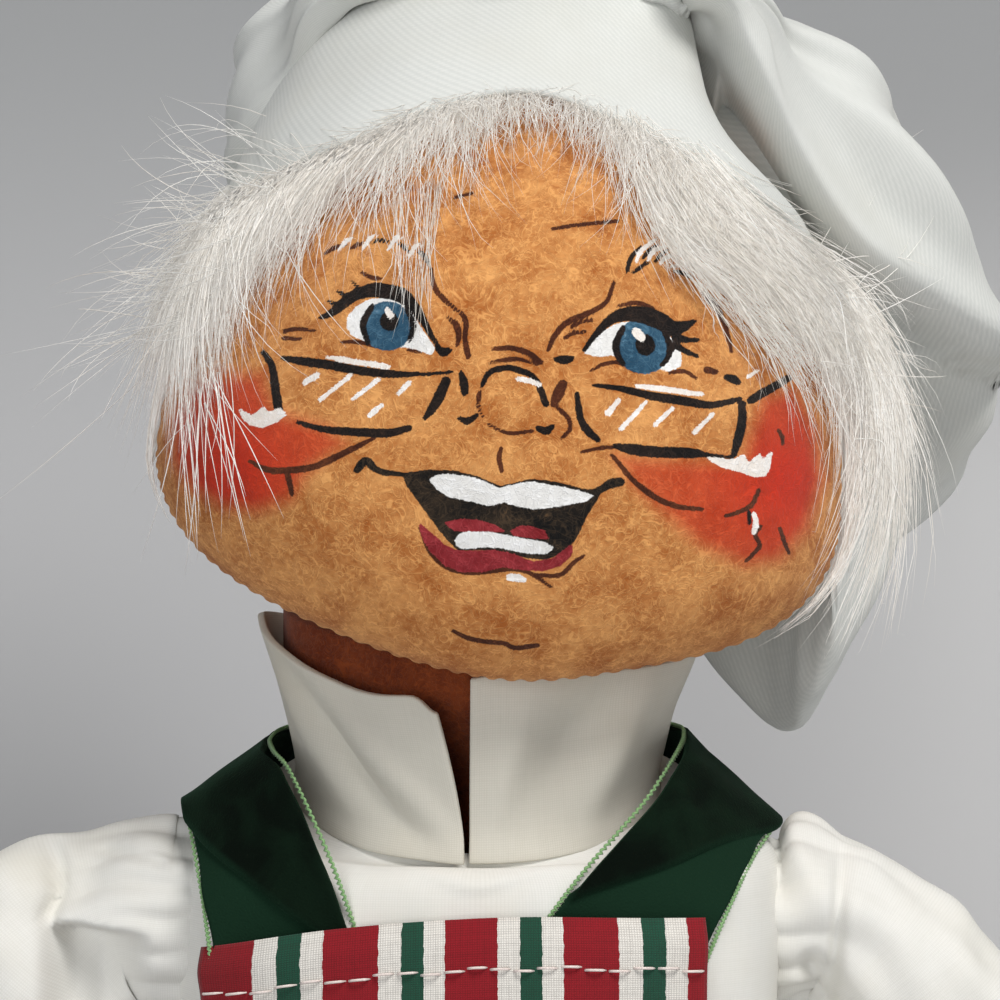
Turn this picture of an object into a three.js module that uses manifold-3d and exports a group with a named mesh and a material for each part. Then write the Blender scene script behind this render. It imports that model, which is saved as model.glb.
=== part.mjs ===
// A felt doll dressed as a baker, standing: stuffed felt head, body and limbs on a wire armature that
// bends, a fur wig, a floppy cook's hat, a blouse with a stand collar, a bib apron on a ribbon, trousers
// and shoes. Millimetres, +Z up. The doll faces -Y, its left side is +X, and the origin is on the floor
// under its middle.
import * as THREE from "three";
import { mergeVertices } from "three/addons/utils/BufferGeometryUtils.js";
import Module from "manifold-3d";

const wasm = await Module();
wasm.setup();

// Clearances
const GAP = 0.3;
const TURN_GAP = 0.7;
const WIRE_GAP = 0.3;
const LAY_GAP = 0.7;

// Thickness of the cloths, and the armature wire
const FELT = 1.5;
const COTTON = 1.1;
const RIBBON = 0.8;
const WIRE_RADIUS = 1.2;

// Shoes
const SOLE_THICKNESS = 4;
const SOLE_LENGTH = 70;
const SOLE_HALF_WIDTH = 16;
const SHOE_HEIGHT = 26;
const TOE_SHARE = 0.66;

// Legs
const LEG_GAP = 8;
const SHIN_LENGTH = 50;
const THIGH_LENGTH = 50;
const HIP_BALL = 15;
const KNEE_BALL = 13;
const THIGH_RADIUS = 15.2;
const CALF_RADIUS = 12.4;
const ANKLE_RADIUS = 11;

// Torso
const TORSO_HEIGHT = 101;
const SEAT_HALF_WIDTH = 33;
const BELLY_HALF_WIDTH = 38;
const BELLY_FRONT = 31;
const BELLY_BACK = 27;
const CHEST_HALF_WIDTH = 36.5;
const CHEST_FRONT = 26;
const CHEST_BACK = 24;
const NECKLINE_RADIUS = 21.5;
const NECKLINE_SLOPE = 4.5;
const TORSO_SQUARENESS = 2.5;
const NECK_SEAT_RADIUS = 14;
const NECK_OPENING = 6;

// Arms
const SHOULDER_DROP = 15.5;
const SHOULDER_OUTSET = 13.4;
const SHOULDER_BALL = 14;
const SLEEVE_PUFF = 16.6;
const SLEEVE_RIM = 14.5;
const ELBOW_BALL = 12;
const UPPER_ARM_LENGTH = 48;
const FOREARM_LENGTH = 46;
const ARM_RADIUS = 8;
const WRIST_RADIUS = 6.5;
const LOWER_SLEEVE_RIM = 10;
const CUFF_WALL = 1.8;
const CUFF_LENGTH = 9;
const HAND_LENGTH = 31;
const HAND_HALF_WIDTH = 10;
const HAND_HALF_THICKNESS = 4.5;
const THUMB_RADIUS = 3.6;
const ARM_OUT = THREE.MathUtils.degToRad(40);
const ELBOW_BEND = THREE.MathUtils.degToRad(40);

// Neck and head
const NECK_BALL = 12.5;
const NECK_RISE = 10;
const NECK_BORE = 3;
const HEAD_TILT = THREE.MathUtils.degToRad(4.4);
const FACE_HALF_WIDTH = 42.8;
const CHIN_DROP = 24.7;
const CROWN_RISE = 54;
const CHEEK_HEIGHT = 29;
const FACE_REACH = 44;
const FACE_POLE_RISE = 5;
const NAPE_REACH = 32;
const NAPE_POLE_RISE = 17;
const CHEEK_SEAM_REACH = 14;
const CHIN_SEAM_REACH = 31;
const CROWN_SEAM_REACH = 2;
const JAW_ROUNDNESS = 1.86;
const CROWN_ROUNDNESS = 2;
const HEAD_FULLNESS = 0.82;

// Hair
const WIG_THICKNESS = 5.2;
const FRINGE_THICKNESS = 1.6;
const FRINGE_REACH = 8;
const NAPE_CLEARANCE = 6;

// Hat
const BAND_HALF_WIDTH = 38.6;
const BAND_HALF_DEPTH = 36.5;
const BAND_TAPER = 7;
const BAND_HEIGHT = 25;
const BAND_TILT = THREE.MathUtils.degToRad(24.6);
const BAND_LIFT = 57;
const BAND_SETBACK = 2.2;
const PUFF_RISE = 17;
const PUFF_OVERHANG = 7;
const PUFF_SPREAD = 30;
const PUFF_SAG = 70;
const PUFF_SIDE = THREE.MathUtils.degToRad(115);
const PUFF_SWEEP = THREE.MathUtils.degToRad(80);
const PUFF_SMALL_SAG = 19;
const PUFF_SMALL_SIDE = THREE.MathUtils.degToRad(-100);
const PUFF_SMALL_SWEEP = THREE.MathUtils.degToRad(75);
const PUFF_FOLDS = 9;
const PUFF_FOLD_DEPTH = 1.2;

// Blouse collar
const COLLAR_RADIUS = 20.6;
const COLLAR_FLARE = 5;
const COLLAR_FRONT_HEIGHT = 13.5;
const COLLAR_SIDE_HEIGHT = 11.5;
const COLLAR_SLIT = 1.6;
const COLLAR_SHIFT = THREE.MathUtils.degToRad(-5);
const COLLAR_CORNER = 0.2;

// Apron, ribbon and bow
const BIB_WIDTH = 61;
const BIB_WAIST_WIDTH = 64;
const BIB_SHIFT = -2.6;
const BIB_DROP = 13;
const WAIST_RISE = 25;
const WAISTBAND_WIDTH = 13;
const SKIRT_LENGTH = 22;
const SKIRT_FLARE = 6;
const SKIRT_FOLD_DEPTH = 1.5;
const SKIRT_FOLDS = 9;
const SKIRT_SWEEP = THREE.MathUtils.degToRad(108);
const RIBBON_WIDTH = 16;
const RIBBON_EDGE_DROP = 0.8;
const STRAP_INNER_DROP = 2.4;
const STRAP_OUTER_DROP = 8;
const STRAP_SIDE_DROP = 6.6;
const BOW_LOOP_LENGTH = 32;
const BOW_LOOP_HALF_HEIGHT = 8;
const BOW_TAIL_LENGTH = 40;
const BOW_TAIL_WIDTH = 12;
const BOW_TAIL_SPREAD = 12;
const BOW_TAIL_OUTSET = 1.5;
const BOW_SWAY = 1.5;
const BOW_LOOP_DROOP = 2;
const BOW_LOOP_SETBACK = 4;
const KNOT_HALF_WIDTH = 5.5;
const KNOT_HALF_HEIGHT = 7.5;
const KNOT_DEPTH = 9;

// Points round a form, and steps along it
const AROUND_BODY = 20;
const AROUND_HEAD = 22;
const AROUND_LIMB = 12;
const AROUND_THUMB = 10;
const AROUND_WIRE = 8;
const AROUND_BALL = 18;
const CROWN_STEPS = 6;

// Heights that follow from the sizes above
const ankleHeight = SOLE_THICKNESS + GAP + SHOE_HEIGHT + GAP;
const kneeHeight = ankleHeight + SHIN_LENGTH;
const hipHeight = kneeHeight + THIGH_LENGTH;
const hipSpread = HIP_BALL + LEG_GAP / 2;
const torsoBottom = hipHeight + HIP_BALL + TURN_GAP + FELT + GAP;
const neckline = torsoBottom + TORSO_HEIGHT;
const neckPivot = neckline + NECK_RISE;
const waistLow = torsoBottom + WAIST_RISE;
const waistHigh = waistLow + WAISTBAND_WIDTH;
const bibTop = neckline - BIB_DROP;
const shoulderHeight = neckline - SHOULDER_DROP;

const { lerp, smoothstep, degToRad } = THREE.MathUtils;
const point = (x, y, z) => new THREE.Vector3(x, y, z);
const steps = (count) => Array.from({ length: count + 1 }, (_, i) => i / count);

// Materials
const cloth = (color, roughness = 0.95) => new THREE.MeshStandardMaterial({ color, roughness });
const skinFelt = cloth(0xcd8c50);
const fur = cloth(0xe1ded4);
const hatCotton = cloth(0xe4e8e6);
const blouseCotton = cloth(0xebebe6);
const velvet = cloth(0x0f2316, 0.8);
const stripedCotton = cloth(0x96192a);
const redFelt = cloth(0x8e1c22);
const blackFelt = cloth(0x1c1a1a);
const shoeSole = cloth(0x2a2420);
const muslin = cloth(0xd9cdb8);
const fibreFill = cloth(0xeeeeea);
const wire = new THREE.MeshStandardMaterial({ color: 0x9a9c9e, roughness: 0.35, metalness: 1 });

function piece(name, geometry, material) {
  geometry.computeVertexNormals();
  const mesh = new THREE.Mesh(geometry, material);
  mesh.name = name;
  return mesh;
}

// Geometry from points and faces, turned outward.
function solidFrom(points, faces) {
  const volume = faces.reduce((sum, _, i) => {
    if (i % 3) return sum;
    const [a, b, c] = [points[faces[i]], points[faces[i + 1]], points[faces[i + 2]]];
    return sum + a.dot(point().copy(b).cross(c));
  }, 0);
  const geometry = new THREE.BufferGeometry().setFromPoints(points);
  geometry.setIndex(volume < 0 ? faces.toReversed() : faces);
  return geometry;
}

// Faces between two closed rings of points.
function strip(faces, here, there, count) {
  for (let i = 0; i < count; i++) {
    const next = (i + 1) % count;
    faces.push(here + i, here + next, there + next, here + i, there + next, there + i);
  }
}

// A skin over rings of equal count. Its two ends are closed, or joined to each other in a loop.
function loft(rings, loop = false) {
  const count = rings[0].length;
  const points = rings.flat();
  const faces = [];
  for (let i = 0; i < rings.length - (loop ? 0 : 1); i++) {
    strip(faces, i * count, ((i + 1) % rings.length) * count, count);
  }
  const fan = (ring, start, flip) => {
    const middle = ring.reduce((sum, p) => sum.add(p), point(0, 0, 0)).divideScalar(count);
    points.push(middle);
    for (let i = 0; i < count; i++) {
      const edge = [start + i, start + ((i + 1) % count)];
      faces.push(points.length - 1, ...(flip ? edge.reverse() : edge));
    }
  };
  if (!loop) {
    fan(rings[0], 0, true);
    fan(rings.at(-1), (rings.length - 1) * count, false);
  }
  return solidFrom(points, faces);
}

// A cloth patch: place(u, v, side) gives its points, u and v from 0 to 1, on side 0 (under) and 1 (over).
function patch(place, uSteps, vSteps) {
  const us = steps(uSteps);
  const rings = us.map((u) => [
    ...steps(vSteps).map((v) => place(u, v, 0)),
    ...steps(vSteps).map((v) => place(u, 1 - v, 1)),
  ]);
  const count = rings[0].length;
  const points = rings.flat();
  const faces = [];
  for (let i = 0; i < rings.length - 1; i++) strip(faces, i * count, (i + 1) * count, count);
  const cap = (start, flip) => {
    for (let i = 0; i < vSteps; i++) {
      const [a, b, c, d] = [i, i + 1, count - 2 - i, count - 1 - i].map((k) => start + k);
      faces.push(...(flip ? [a, c, b, a, d, c] : [a, b, c, a, c, d]));
    }
  };
  cap(0, true);
  cap((rings.length - 1) * count, false);
  return solidFrom(points, faces);
}

// A round piece about Z from [radius, height] pairs that start and end on the axis or close on themselves.
function turned(profile, around = AROUND_LIMB) {
  const outline = profile.map(([r, z]) => new THREE.Vector2(r, z));
  if (THREE.ShapeUtils.area(outline) < 0) outline.reverse();
  return new THREE.LatheGeometry(outline, around).rotateX(Math.PI / 2);
}

const rod = (low, high, radius = WIRE_RADIUS) =>
  turned([[0, low], [radius, low], [radius, high], [0, high]], AROUND_WIRE);

function solidOf(geometry) {
  const bare = geometry.clone();
  bare.deleteAttribute("normal");
  bare.deleteAttribute("uv");
  const merged = mergeVertices(bare, 1e-4);
  const vertProperties = Float32Array.from(merged.attributes.position.array);
  const triVerts = Uint32Array.from(merged.index.array);
  return new wasm.Manifold(new wasm.Mesh({ numProp: 3, vertProperties, triVerts }));
}

function geometryOf(solid) {
  const mesh = solid.getMesh();
  const geometry = new THREE.BufferGeometry();
  geometry.setAttribute("position", new THREE.BufferAttribute(mesh.vertProperties, 3));
  geometry.setIndex(new THREE.BufferAttribute(mesh.triVerts, 1));
  return geometry;
}

const cut = (geometry, ...tools) =>
  geometryOf(tools.reduce((rest, tool) => rest.subtract(solidOf(tool)), solidOf(geometry)));
const join = (first, second) => geometryOf(solidOf(first).add(solidOf(second)));

const ball = (radius, centre) =>
  new THREE.SphereGeometry(radius, AROUND_BALL, AROUND_LIMB).translate(centre.x, centre.y, centre.z);

// A curve through [place, ...values] rows, read at a place.
function readTable(rows, place) {
  const last = rows.length - 1;
  const after = Math.max(1, rows.findIndex((row) => row[0] >= place));
  const i = place >= rows[last][0] ? last : after;
  const [a, b] = [rows[i - 1], rows[i]];
  const span = b[0] - a[0];
  const t = THREE.MathUtils.clamp((place - a[0]) / span, 0, 1);
  const slope = (k, column) => {
    const [low, high] = [rows[Math.max(k - 1, 0)], rows[Math.min(k + 1, last)]];
    return (high[column] - low[column]) / (high[0] - low[0]);
  };
  return a.slice(1).map((start, column) => {
    const end = b[column + 1];
    const [s0, s1] = [slope(i - 1, column + 1) * span, slope(i, column + 1) * span];
    const [t2, t3] = [t * t, t * t * t];
    const ends = (2 * t3 - 3 * t2 + 1) * start + (3 * t2 - 2 * t3) * end;
    return ends + (t3 - 2 * t2 + t) * s0 + (t3 - t2) * s1;
  });
}

// The torso's surface: half width, front and back reach at each share of its height.
const torsoTable = [
  [0, SEAT_HALF_WIDTH * 0.72, BELLY_FRONT * 0.6, BELLY_BACK * 0.66],
  [0.06, SEAT_HALF_WIDTH, BELLY_FRONT * 0.84, BELLY_BACK * 0.9],
  [0.2, BELLY_HALF_WIDTH, BELLY_FRONT, BELLY_BACK],
  [0.34, BELLY_HALF_WIDTH - 1, BELLY_FRONT, BELLY_BACK - 0.5],
  [0.55, CHEST_HALF_WIDTH - 1, CHEST_FRONT + 2.5, CHEST_BACK + 0.8],
  [0.75, CHEST_HALF_WIDTH, CHEST_FRONT + 0.7, CHEST_BACK],
  [0.88, CHEST_HALF_WIDTH, CHEST_FRONT - 1.5, CHEST_BACK - 0.5],
  [0.945, CHEST_HALF_WIDTH - 3.5, CHEST_FRONT - 3, CHEST_BACK - 1],
  [0.985, lerp(CHEST_HALF_WIDTH, NECKLINE_RADIUS, 0.6), NECKLINE_RADIUS + 0.6, NECKLINE_RADIUS + 0.5],
  [1, NECKLINE_RADIUS, NECKLINE_RADIUS, NECKLINE_RADIUS],
];
const torsoSize = (height) => readTable(torsoTable, (height - torsoBottom) / TORSO_HEIGHT);

// A superellipse's share across and along at an angle.
const roundShare = (value, power) => Math.sign(value) * Math.abs(value) ** (2 / power);

// Angle 0 is the front and a quarter turn is the doll's left. Near the neckline, the rings slope down
// to the front.
function torsoSurface(height, angle) {
  const [halfWidth, front, back] = torsoSize(height);
  const reach = Math.cos(angle) > 0 ? front : back;
  const top = smoothstep(height, neckline - 3 * NECKLINE_SLOPE, neckline);
  const round = lerp(TORSO_SQUARENESS, 2, top);
  const x = halfWidth * roundShare(Math.sin(angle), round);
  const y = -reach * roundShare(Math.cos(angle), round);
  return point(x, y, height - NECKLINE_SLOPE * top * Math.cos(angle));
}

// A point that lies a distance out from the torso's surface.
function torsoPoint(height, angle, out) {
  const [low, high] = [Math.max(height - 1, torsoBottom), Math.min(height + 1, neckline)];
  const up = torsoSurface(high, angle).sub(torsoSurface(low, angle));
  const round = torsoSurface(height, angle + 0.05).sub(torsoSurface(height, angle - 0.05));
  return torsoSurface(height, angle).addScaledVector(round.cross(up).normalize(), out);
}

// The torso's point in front at a distance across.
function torsoFront(height, across, out) {
  const [halfWidth] = torsoSize(height);
  const share = THREE.MathUtils.clamp(across / (halfWidth + out), -1, 1);
  const angle = Math.asin(Math.sign(share) * Math.abs(share) ** (TORSO_SQUARENESS / 2));
  return torsoPoint(height, angle, out);
}

const angles = (count) => Array.from({ length: count }, (_, i) => (i / count) * 2 * Math.PI);
const torsoRing = (height, out) => angles(AROUND_BODY).map((a) => torsoPoint(height, a, out));
const between = (low, high, count) => steps(count).map((t) => lerp(low, high, t));
const flatRing = (radius, height) =>
  angles(AROUND_BODY).map((a) => point(radius * Math.sin(a), -radius * Math.cos(a), height));

// Rings up the torso from its flat bottom, closer together where it rounds off.
const torsoLevels = [0, 0.025, 0.07, 0.15, 0.25, 0.42, 0.6, 0.77, 0.87, 0.93, 0.97, 1].map((share) =>
  lerp(torsoBottom, neckline, share));
const torsoRings = (out, low = torsoBottom, high = neckline) => {
  const inside = torsoLevels.filter((level) => level > low + 1 && level < high - 1);
  return [low, ...inside, high].map((level) => {
    const ring = torsoRing(level, out);
    return level > torsoBottom ? ring : ring.map((p) => p.setZ(torsoBottom - out));
  });
};

const left = 1;
const right = -1;
const sideName = (side) => (side === left ? "left" : "right");
const shoulderSpread = torsoSize(shoulderHeight)[0] + SHOULDER_OUTSET;
const shoulderPlace = (side) => point(side * shoulderSpread, 0, shoulderHeight);
const hipPlace = (side) => point(side * hipSpread, 0, hipHeight);
const bothSides = (make) => [left, right].map(make);
const armholes = bothSides((side) => ball(SHOULDER_BALL + TURN_GAP, shoulderPlace(side)));
const hipHollows = bothSides((side) => ball(HIP_BALL + TURN_GAP, hipPlace(side)));
const shoulderBores = bothSides(() => rod(0, shoulderSpread, WIRE_RADIUS + WIRE_GAP)).map((bore, i) =>
  bore.rotateY((i ? -1 : 1) * Math.PI / 2).translate(0, 0, shoulderHeight));

function buildTorso() {
  const torso = new THREE.Group();
  const wireLow = torsoBottom + WAIST_RISE / 2;
  const seatTop = neckline + GAP;
  const outer = [...torsoRings(0), flatRing(NECK_SEAT_RADIUS, seatTop), flatRing(NECK_OPENING, seatTop)];
  const inner = [...torsoRings(-FELT), flatRing(NECK_SEAT_RADIUS, seatTop - FELT),
    flatRing(NECK_OPENING, seatTop - FELT)];
  const skin = loft([...outer, ...inner.reverse()]);
  torso.add(piece("torso_skin", cut(skin, ...armholes, ...shoulderBores), muslin));

  const fillOut = -(FELT + GAP);
  const fillRings = torsoRings(fillOut, torsoBottom, torsoLevels.at(-4));
  const spineBore = rod(wireLow, neckPivot, WIRE_RADIUS + WIRE_GAP);
  const fill = cut(loft(fillRings), spineBore, ...armholes, ...shoulderBores);
  torso.add(piece("torso_stuffing", fill, fibreFill));
  torso.add(piece("spine_wire", rod(wireLow + WIRE_GAP, neckPivot - NECK_BALL / 2), wire));

  // Seat of the trousers, up to the bottom of the bodice.
  const seatRings = (out) => torsoRings(out, torsoBottom, waistLow - GAP);
  const seat = loft([...seatRings(GAP + FELT), ...seatRings(GAP).reverse()]);
  torso.add(piece("trouser_seat", cut(seat, ...hipHollows), redFelt));

  const bodiceRings = (out) => torsoRings(out, waistLow, neckline - GAP);
  const bodice = loft([...bodiceRings(LAY_GAP + COTTON), ...bodiceRings(LAY_GAP).reverse()], true);
  torso.add(piece("blouse_bodice", cut(bodice, ...armholes), blouseCotton));
  bothSides((side) => torso.add(piece(`collar_${sideName(side)}`, collarHalf(side), blouseCotton)));
  return torso;
}

// Half of the stand collar, from the slit at the front round to the middle of the back.
function collarHalf(side) {
  const slit = COLLAR_SHIFT + (side * COLLAR_SLIT) / 2 / COLLAR_RADIUS;
  const back = side * (Math.PI - COLLAR_SLIT / 4 / COLLAR_RADIUS);
  return patch((u, v, over) => {
    const angle = lerp(slit, back, u);
    const base = neckline + COTTON + LAY_GAP - NECKLINE_SLOPE * Math.cos(angle);
    const turn = smoothstep(Math.abs(angle), degToRad(40), degToRad(100));
    const corner = 1 - COLLAR_CORNER * (1 - smoothstep(u, 0, 0.08));
    const height = lerp(COLLAR_FRONT_HEIGHT, COLLAR_SIDE_HEIGHT, turn) * corner;
    const radius = COLLAR_RADIUS + COLLAR_FLARE * v ** 1.3 + over * COTTON;
    return point(radius * Math.sin(angle), -radius * Math.cos(angle), base + height * v);
  }, 14, 2);
}

// Apron: layers over the bodice, counted out from the torso's surface.
const overBodice = LAY_GAP + COTTON + LAY_GAP;
const overSeat = GAP + FELT + LAY_GAP;

function buildApron() {
  const apron = new THREE.Group();
  const bib = patch((u, v, over) => {
    const height = lerp(waistHigh + GAP, bibTop, u);
    const width = lerp(BIB_WAIST_WIDTH, BIB_WIDTH, u);
    return torsoFront(height, BIB_SHIFT + width * (v - 0.5), overBodice + over * COTTON);
  }, 6, 12);
  apron.add(piece("apron_bib", cut(bib, ...armholes), stripedCotton));

  const bandRing = (height, out) => torsoRing(height, overBodice + out);
  const band = loft([bandRing(waistLow, COTTON), bandRing(waistHigh, COTTON), bandRing(waistHigh, 0),
    bandRing(waistLow, 0)], true);
  apron.add(piece("apron_waistband", band, velvet));

  const skirt = patch((u, v, over) => {
    const angle = lerp(-SKIRT_SWEEP, SKIRT_SWEEP, v);
    const fall = 1 - u;
    const fold = SKIRT_FOLD_DEPTH * fall * (1 - Math.cos(angle * SKIRT_FOLDS));
    const out = overSeat + SKIRT_FLARE * fall + fold + over * COTTON;
    const reach = out + (Math.cos(angle) > 0 ? BELLY_FRONT : BELLY_BACK);
    const x = (BELLY_HALF_WIDTH + out) * roundShare(Math.sin(angle), TORSO_SQUARENESS);
    const y = -reach * roundShare(Math.cos(angle), TORSO_SQUARENESS);
    return point(x, y, waistLow - GAP - SKIRT_LENGTH * fall);
  }, 3, 40);
  apron.add(piece("apron_skirt", skirt, stripedCotton));
  apron.add(piece("neck_ribbon", cut(neckRibbon(), ...armholes), velvet));
  return apron;
}

// The ribbon from one top corner of the bib over the shoulder, round the back of the neck and down again.
// Both edges are rows of [share of the way, angle, height below the neckline].
function neckRibbon() {
  const [halfWidth] = torsoSize(bibTop);
  const strapMiddle = BIB_WIDTH / 2 - RIBBON_WIDTH / 2;
  const angleAt = (across) => Math.asin(Math.min(0.94, across / halfWidth) ** (TORSO_SQUARENESS / 2));
  const [innerStart, outerStart] = [-1, 1].map((s) => angleAt(strapMiddle + (s * RIBBON_WIDTH) / 2));
  const low = BIB_DROP - GAP;
  const inner = [
    [0, innerStart, low],
    [0.25, degToRad(52), STRAP_INNER_DROP],
    [0.5, degToRad(85), RIBBON_EDGE_DROP],
    [1, Math.PI, RIBBON_EDGE_DROP],
  ];
  const outer = [
    [0, outerStart, low],
    [0.25, degToRad(80), STRAP_OUTER_DROP],
    [0.5, degToRad(98), STRAP_SIDE_DROP],
    [0.7, degToRad(128), RIBBON_WIDTH * 0.8],
    [1, Math.PI, RIBBON_WIDTH],
  ];
  return patch((u, v, over) => {
    const along = 1 - Math.abs(2 * u - 1);
    const side = u < 0.5 ? left : right;
    const [[a0, d0], [a1, d1]] = [readTable(inner, along), readTable(outer, along)];
    const drop = lerp(d0, d1, v);
    return torsoPoint(neckline - drop, side * lerp(a0, a1, v), overBodice + over * RIBBON);
  }, 32, 4);
}

// Bow on the back of the waistband.
function buildBow() {
  const bow = new THREE.Group();
  const height = (waistLow + waistHigh) / 2;
  const [low, high] = [waistLow, waistHigh].map((h) => torsoPoint(h, Math.PI, overBodice + COTTON).y);
  const behind = Math.max(low, high) + GAP;
  const knotRings = between(0, 1, 4).map((t) => {
    const swell = 0.8 + 0.2 * Math.sin(Math.PI * t);
    return angles(AROUND_LIMB).map((a) => point(
      KNOT_HALF_WIDTH * swell * Math.cos(a),
      behind + KNOT_DEPTH * t,
      height + KNOT_HALF_HEIGHT * swell * Math.sin(a)));
  });
  bow.add(piece("bow_knot", loft(knotRings), velvet));
  bothSides((side) => {
    const loopRings = between(0, 1, 6).map((t) => {
      const open = 0.35 + 0.65 * Math.sin(Math.PI * lerp(0.12, 0.9, t));
      const x = side * (KNOT_HALF_WIDTH + GAP + BOW_LOOP_LENGTH * t);
      const depth = KNOT_DEPTH * (0.25 + 0.2 * Math.sin(Math.PI * t));
      return angles(AROUND_LIMB).map((a) => point(
        x,
        behind + KNOT_DEPTH / 2 + depth * Math.cos(a) + BOW_LOOP_SETBACK * t * t,
        height + BOW_LOOP_HALF_HEIGHT * open * Math.sin(a) - BOW_LOOP_DROOP * t));
    });
    bow.add(piece(`bow_${sideName(side)}_loop`, loft(loopRings), velvet));
    const tail = patch((u, v, over) => {
      const x = side * (BOW_TAIL_OUTSET + BOW_TAIL_SPREAD * u + BOW_TAIL_WIDTH * v * (0.5 + 0.5 * u));
      const sway = BOW_SWAY * Math.sin(Math.PI * u) * Math.cos(Math.PI * v);
      const y = behind + KNOT_DEPTH / 2 + sway + over * RIBBON;
      return point(x, y, height - KNOT_HALF_HEIGHT - GAP - BOW_TAIL_LENGTH * u);
    }, 6, 3);
    bow.add(piece(`bow_${sideName(side)}_tail`, tail, velvet));
  });
  return bow;
}

// A cup about Z: an outer profile from the top of the axis down to the rim, and the same set in by a wall.
function cup(profile, wall) {
  const inner = profile.map(([r, z], i) => {
    const [before, after] = [profile[Math.max(i - 1, 0)], profile[Math.min(i + 1, profile.length - 1)]];
    const along = new THREE.Vector2(after[0] - before[0], after[1] - before[1]).normalize();
    const edge = i === profile.length - 1;
    return i === 0 ? [0, z - wall] : [r + along.y * wall, edge ? z : z - along.x * wall];
  });
  return turned([...profile, ...inner.reverse()]);
}

// The round top of a limb about its joint, from the top down to the joint's level, then on down a spline.
function limbProfile(radius, below, count) {
  const cap = between(0, Math.PI / 2, 4).map((a) => [radius * Math.sin(a), radius * Math.cos(a)]);
  const line = new THREE.SplineCurve([cap.at(-1), ...below].map(([r, z]) => new THREE.Vector2(r, z)));
  return [...cap, ...line.getPoints(count).slice(1).map((p) => [p.x, p.y])];
}

// A stuffed limb with a flat end and a bore for its wire from that end.
function stuffedLimb(radius, below, boreTop) {
  const profile = limbProfile(radius, below, 3);
  const end = profile.at(-1)[1];
  return cut(turned([...profile, [0, end]]), rod(end - GAP, boreTop, WIRE_RADIUS + WIRE_GAP));
}

function buildArm(side) {
  const name = sideName(side);
  const shoulder = new THREE.Group();
  shoulder.name = `${name}_shoulder_pivot`;
  shoulder.position.copy(shoulderPlace(side));
  shoulder.rotation.y = -side * ARM_OUT;

  const rim = -UPPER_ARM_LENGTH + ELBOW_BALL + TURN_GAP;
  const sleeveBelow = [[SLEEVE_PUFF, rim * 0.42], [SLEEVE_PUFF, rim * 0.74], [SLEEVE_RIM, rim]];
  const sleeve = limbProfile(SHOULDER_BALL, sleeveBelow, 5);
  shoulder.add(piece(`${name}_upper_sleeve`, cup(sleeve, COTTON), blouseCotton));
  const armTop = SHOULDER_BALL - COTTON - GAP;
  const arm = stuffedLimb(armTop, [[ARM_RADIUS + 1.5, -armTop], [ARM_RADIUS, rim]], armTop / 2);
  shoulder.add(piece(`${name}_upper_arm_felt`, arm, skinFelt));
  shoulder.add(piece(`${name}_upper_arm_wire`, rod(rim, armTop / 2 - WIRE_GAP), wire));

  const elbow = new THREE.Group();
  elbow.name = `${name}_elbow_pivot`;
  elbow.position.z = -UPPER_ARM_LENGTH;
  elbow.rotation.x = -ELBOW_BEND;
  shoulder.add(elbow);
  const cuffTop = -(FOREARM_LENGTH - CUFF_LENGTH);
  const lowerBelow = [[ELBOW_BALL - GAP, cuffTop / 2], [LOWER_SLEEVE_RIM, cuffTop + GAP]];
  const lower = limbProfile(ELBOW_BALL, lowerBelow, 3);
  elbow.add(piece(`${name}_lower_sleeve`, cup(lower, COTTON), blouseCotton));
  const forearmTop = ELBOW_BALL - COTTON - GAP;
  const forearmBelow = [[ARM_RADIUS, -forearmTop], [WRIST_RADIUS, cuffTop], [WRIST_RADIUS, -FOREARM_LENGTH]];
  const forearm = stuffedLimb(forearmTop, forearmBelow, forearmTop / 2);
  elbow.add(piece(`${name}_forearm_felt`, forearm, skinFelt));
  elbow.add(piece(`${name}_forearm_wire`, rod(-FOREARM_LENGTH, forearmTop / 2 - WIRE_GAP), wire));
  const cuffInner = WRIST_RADIUS + GAP;
  const cuffOuter = cuffInner + CUFF_WALL;
  const cuff = turned([[cuffInner, cuffTop], [cuffOuter, cuffTop], [cuffOuter, -FOREARM_LENGTH],
    [cuffInner, -FOREARM_LENGTH], [cuffInner, cuffTop]]);
  elbow.add(piece(`${name}_cuff`, cuff, blouseCotton));
  elbow.add(piece(`${name}_hand`, mitten().translate(0, 0, -FOREARM_LENGTH - GAP), skinFelt));

  // The wire that the arm swings on lies in the torso, on the axis through the shoulder.
  const reach = shoulderSpread - SHOULDER_BALL - TURN_GAP - GAP;
  const stub = rod(reach * 0.4, reach).rotateY((side * Math.PI) / 2).translate(0, 0, shoulderHeight);
  return [shoulder, piece(`${name}_shoulder_wire`, stub, wire)];
}

// A mitten hand that hangs down from the wrist, with its thumb to the front.
function mitten() {
  const palmTable = [
    [0, 0.6, 1], [0.2, 0.76, 1.05], [0.5, 1, 1], [0.8, 0.92, 0.86], [0.95, 0.6, 0.6], [1, 0.3, 0.3],
  ];
  const palm = loft([0, 0.12, 0.3, 0.5, 0.7, 0.85, 0.95, 1].map((t) => {
    const [wide, thick] = readTable(palmTable, t);
    return angles(AROUND_LIMB).map((a) => point(
      HAND_HALF_THICKNESS * thick * Math.cos(a),
      HAND_HALF_WIDTH * wide * Math.sin(a),
      -HAND_LENGTH * t));
  }));
  const thumb = loft(between(0, 1, 4).map((t) => {
    const radius = THUMB_RADIUS * (t < 1 ? 1 : 0.55);
    const middle = point(0, -HAND_HALF_WIDTH * lerp(0.35, 1.5, t), -HAND_LENGTH * lerp(0.16, 0.58, t));
    return angles(AROUND_THUMB).map((a) =>
      middle.clone().add(point(radius * Math.cos(a), radius * Math.sin(a), 0)));
  }));
  return join(palm, thumb);
}

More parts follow.
